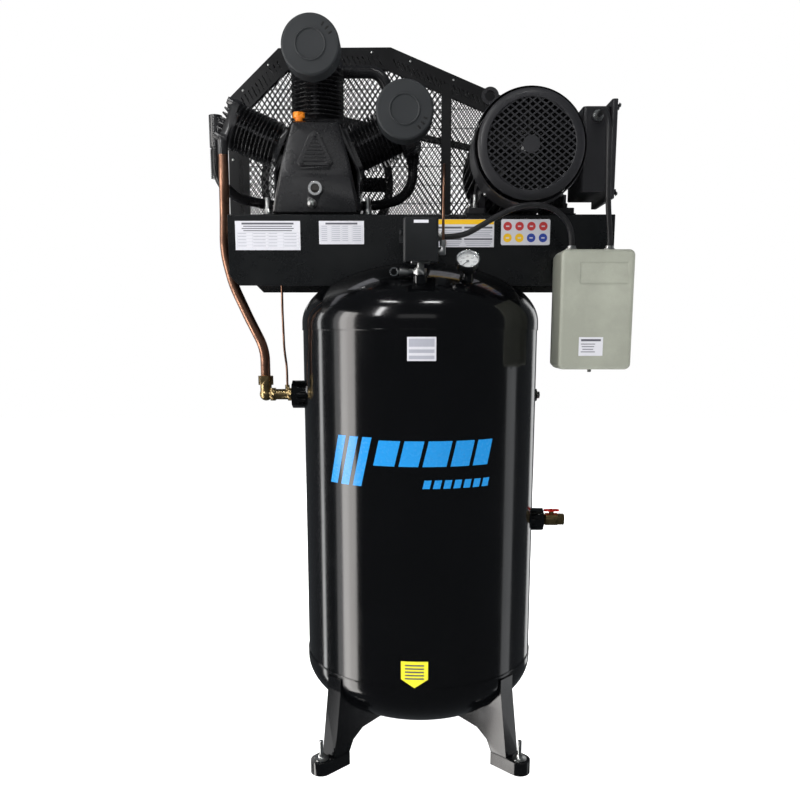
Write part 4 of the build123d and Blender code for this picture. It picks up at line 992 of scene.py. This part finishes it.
class COMPRESSOR_OT_guard(bpy.types.Operator):
    """Expanded metal front and back, with tie wires and rivets"""

    bl_idname = "compressor.guard"
    bl_label = "Belt guard"

    def execute(self, context):
        front_holes = ((CRANK.x, CRANK.z, 0.045), (MOTOR.x, MOTOR.z, 0.073))
        bm = diamond_sheet(GUARD_FRONT + 0.0012, front_holes)
        put("guard_mesh_front", bm, ["guard_paint"], sharp=50, replaces=("guard_meshes",))
        bm = diamond_sheet(GUARD_BACK, ())
        put("guard_mesh_back", bm, ["guard_paint"], sharp=50)

        bm = bmesh.new()
        pitch = 0.053
        for row in range(1, int((GUARD_HIGH.z - GUARD_LOW.z) / pitch)):
            height = GUARD_LOW.z + row * pitch
            left, right = outline_span(height)
            wire = bmesh.new()
            bmesh.ops.create_cone(
                wire, cap_ends=True, segments=6, radius1=0.0011, radius2=0.0011, depth=right - left - 0.008
            )
            merge(bm, wire, facing((1, 0, 0), ((left + right) / 2, GUARD_BACK - 0.0025, height)))
        put("guard_tie_wires", bm, ["guard_paint"])

        bm = bmesh.new()
        corners = guard_outline()[1:] + guard_outline()[:1]
        for (x0, z0), (x1, z1) in zip(corners, corners[1:]):
            side = Vector((x1 - x0, z1 - z0))
            inward = Vector((-side.y, side.x)).normalized()
            count = max(1, round(side.length / 0.12))
            for step in range(count):
                spot = Vector((x0, z0)) + side * (step + 0.5) / count + inward * 0.012
                for y, out in ((GUARD_LOW.y + 0.003, -1), (GUARD_HIGH.y, 1)):
                    dome = [(0, 0.0018), (0.0018, 0.0015), (0.0032, 0.0006), (0.0036, 0.0), (0, 0.0)]
                    spin_profile(bm, dome, 12, (0, out, 0), (spot.x, y, spot.y))
        put("guard_rivets", bm, ["zinc"])
        return {"FINISHED"}


# ---------------------------------------------------------------- the pump's small pieces
class COMPRESSOR_OT_pump_detail(bpy.types.Operator):
    """Fins of the intercooler, near-black blocks of painted shade for the filter vents, the badge of the
    pump's cover and the fan's baffle
    """

    bl_idname = "compressor.pump_detail"
    bl_label = "Pump detail"

    def execute(self, context):
        pipe_x, pipe_y = low("intercooler_pipe").x + 0.013, 0.030
        pipe_top = high("intercooler_pipe").z
        bm = bmesh.new()
        for turn in range(16):
            fin = [(0.0125, -0.0006), (0.0168, -0.0004), (0.0170, 0.0), (0.0168, 0.0004), (0.0125, 0.0006)]
            centre = (pipe_x, pipe_y, pipe_top - 0.006 - turn * 0.0046)
            spin_profile(bm, fin, 36, (0, 0, 1), centre, closed=True)
        put("intercooler_fins", bm, ["pipe_paint"])

        # The filter vents are near-black blocks: painted shade that stands in for the dark inside of the vent
        # holes.
        bm = bmesh.new()
        for node, angles in (("air_filter_middle", (28, 42, 56)), ("air_filter_right", (-22, -36, -50))):
            centre = middle(node)
            front = low(node).y + 0.002
            for angle in angles:
                lean = math.radians(angle)
                spot = (centre.x + 0.053 * math.cos(lean), front, centre.z + 0.053 * math.sin(lean))
                add_block(bm, spot, (0.010, 0.0016, 0.0042), 0.0007, Matrix.Rotation(-lean, 3, "Y"))
        put("filter_vents_painted_shade", bm, ["fan_plastic"])

        bm = bmesh.new()
        cover = low("crankcase_cover").y
        badge_z = CRANK.z + 0.015
        plate = [(-39, -32), (39, -32), (45, -24), (12, 44), (0, 51), (-12, 44), (-45, -24)]
        outline = [(CRANK.x + x * MM, badge_z + z * MM) for x, z in plate]
        part = bmesh.new()
        part.faces.new([part.verts.new((x, z, 0)) for x, z in outline])
        thicken(part, 0.009)
        bmesh.ops.bevel(
            part, geom=part.edges[:], offset=0.0016, segments=3, profile=0.5, affect="EDGES", material=-1
        )
        merge(bm, part, Matrix.Translation((0, cover + 0.009, 0)) @ TO_FRONT)
        for rib in range(7):
            width = 0.064 - rib * 0.008
            spot = (CRANK.x, cover - 0.0004, badge_z - 0.021 + rib * 0.0085)
            add_block(bm, spot, (width, 0.0022, 0.0036), 0.0009)
        for x, z in ((-33, -25), (33, -25), (0, 39)):
            spot = (CRANK.x + x * MM, cover, badge_z + z * MM)
            add_screw(bm, spot, (0, -1, 0), 0.0052, 0.005)
        put("cover_badge", bm, ["casting"])

        bm = bmesh.new()
        rim = COVER_R - 0.003
        ring = [(0.1, 0.0), (rim, 0.0), (rim, 0.002), (0.1, 0.002)]
        spin_profile(bm, ring, 96, (0, 1, 0), (MOTOR.x, COVER_BACK - 0.006, MOTOR.z), closed=True)
        put("fan_baffle", bm, ["motor_paint"])
        return {"FINISHED"}


# ---------------------------------------------------------------- the gauge
GAUGE_FACE_R = 0.0252


class COMPRESSOR_OT_gauge(bpy.types.Operator):
    """Printed dial, ticks, numbers and glass of the pressure gauge"""

    bl_idname = "compressor.gauge"
    bl_label = "Pressure gauge"

    def execute(self, context):
        right = Vector((1, 0, 0))
        above = DIAL_OUT.cross(right).normalized()
        plate = Matrix((right, above, DIAL_OUT)).transposed().to_4x4()
        plane = Matrix.Translation(DIAL - DIAL_OUT * 0.0026) @ plate
        bm = bmesh.new()
        disc = [(0, 0.0), (GAUGE_FACE_R, 0.0), (GAUGE_FACE_R, 0.0004), (0, 0.0004)]
        spin_profile(bm, disc, 64, DIAL_OUT, DIAL - DIAL_OUT * 0.0028)
        for tick in range(31):
            lean = math.radians(225 - tick * 9)
            long = tick % 5 == 0
            length = 0.0042 if long else 0.0024
            spot = Vector((math.cos(lean), math.sin(lean), 0)) * (0.0235 - length / 2)
            part = bmesh.new()
            bmesh.ops.create_cube(part, size=1.0)
            bmesh.ops.scale(part, vec=(length, 0.0007 if long else 0.0004, 0.0003), verts=part.verts)
            matrix = plane @ Matrix.Translation(spot + Vector((0, 0, 0.0003))) @ Matrix.Rotation(lean, 4, "Z")
            merge(bm, part, matrix, 1)
        for step in range(7):
            lean = math.radians(225 - step * 45)
            curve = bpy.data.curves.new("number", "FONT")
            curve.body = str(step * 50)
            curve.size = 0.0052
            curve.align_x = "CENTER"
            curve.align_y = "CENTER"
            curve.extrude = 0.0001
            sample = bpy.data.objects.new("number", curve)
            mesh = bpy.data.meshes.new_from_object(sample)
            part = bmesh.new()
            part.from_mesh(mesh)
            spot = Vector((math.cos(lean), math.sin(lean), 0)) * 0.0158
            merge(bm, part, plane @ Matrix.Translation(spot + Vector((0, 0, 0.0003))), 1)
            bpy.data.objects.remove(sample)
            bpy.data.curves.remove(curve)
            bpy.data.meshes.remove(mesh)
        put("gauge_dial", bm, ["dial_white", "needle_paint"])

        bm = bmesh.new()
        glass = [(0, 0.0), (GAUGE_FACE_R, 0.0), (GAUGE_FACE_R, 0.0012), (0.016, 0.0022), (0, 0.0026)]
        spin_profile(bm, glass, 64, DIAL_OUT, DIAL + DIAL_OUT * 0.0052)
        put("gauge_lens", bm, ["gauge_glass"])
        return {"FINISHED"}


# ---------------------------------------------------------------- small fasteners
class COMPRESSOR_OT_fasteners(bpy.types.Operator):
    """Screws of the starter, the fan cover and the terminal box"""

    bl_idname = "compressor.fasteners"
    bl_label = "Fasteners"

    def execute(self, context):
        bm = bmesh.new()
        bottom = low("starter_cover")
        add_screw(bm, (middle("starter_cover").x, bottom.y + 0.052, bottom.z), (0, 0, -1), 0.0045, 0.008)
        lid_x = high("terminal_box").x
        box_low, box_high = low("terminal_box"), high("terminal_box")
        for y in (box_low.y + 0.012, box_high.y - 0.012):
            for z in (box_low.z + 0.012, box_high.z - 0.012):
                add_screw(bm, (lid_x, y, z), (1, 0, 0), 0.0042, 0.004)
        for angle in (45, 135, 225, 315):
            out = Vector((math.cos(math.radians(angle)), 0, math.sin(math.radians(angle))))
            spot = Vector((MOTOR.x, COVER_BACK - 0.012, MOTOR.z)) + out * (COVER_R - 0.0004)
            add_screw(bm, spot, out, 0.0042, 0.004)
        put("small_screws", bm, ["zinc"])
        return {"FINISHED"}


# ---------------------------------------------------------------- the add-on
class COMPRESSOR_PT_panel(bpy.types.Panel):
    """Shows the settings and a button for each step"""

    bl_idname = "COMPRESSOR_PT_panel"
    bl_label = "Compressor"
    bl_space_type = "VIEW_3D"
    bl_region_type = "UI"
    bl_category = "Compressor"

    def draw(self, context):
        layout = self.layout
        for name, _ in SETTINGS:
            settings = getattr(context.scene, name)
            box = layout.box()
            for key in settings.__annotations__:
                box.prop(settings, key)
        for operator in STEPS:
            layout.operator(operator.bl_idname)


SETTINGS = (
    ("compressor_tank", TankSettings),
    ("compressor_guard", GuardSettings),
    ("compressor_finish", FinishSettings),
)
STEPS = (
    COMPRESSOR_OT_stage,
    COMPRESSOR_OT_finishes,
    COMPRESSOR_OT_conduits,
    COMPRESSOR_OT_receiver,
    COMPRESSOR_OT_marks,
    COMPRESSOR_OT_labels,
    COMPRESSOR_OT_guard,
    COMPRESSOR_OT_pump_detail,
    COMPRESSOR_OT_gauge,
    COMPRESSOR_OT_fasteners,
)


def register():
    for name, group in SETTINGS:
        bpy.utils.register_class(group)
        setattr(bpy.types.Scene, name, PointerProperty(type=group))
    for operator in STEPS:
        bpy.utils.register_class(operator)
    bpy.utils.register_class(COMPRESSOR_PT_panel)


def unregister():
    bpy.utils.unregister_class(COMPRESSOR_PT_panel)
    for operator in reversed(STEPS):
        bpy.utils.unregister_class(operator)
    for name, group in reversed(SETTINGS):
        delattr(bpy.types.Scene, name)
        bpy.utils.unregister_class(group)


def main():
    """Make every piece in order."""
    register()
    for operator in STEPS:
        family, call = operator.bl_idname.split(".")
        getattr(getattr(bpy.ops, family), call)()


if __name__ == "__main__":
    main()
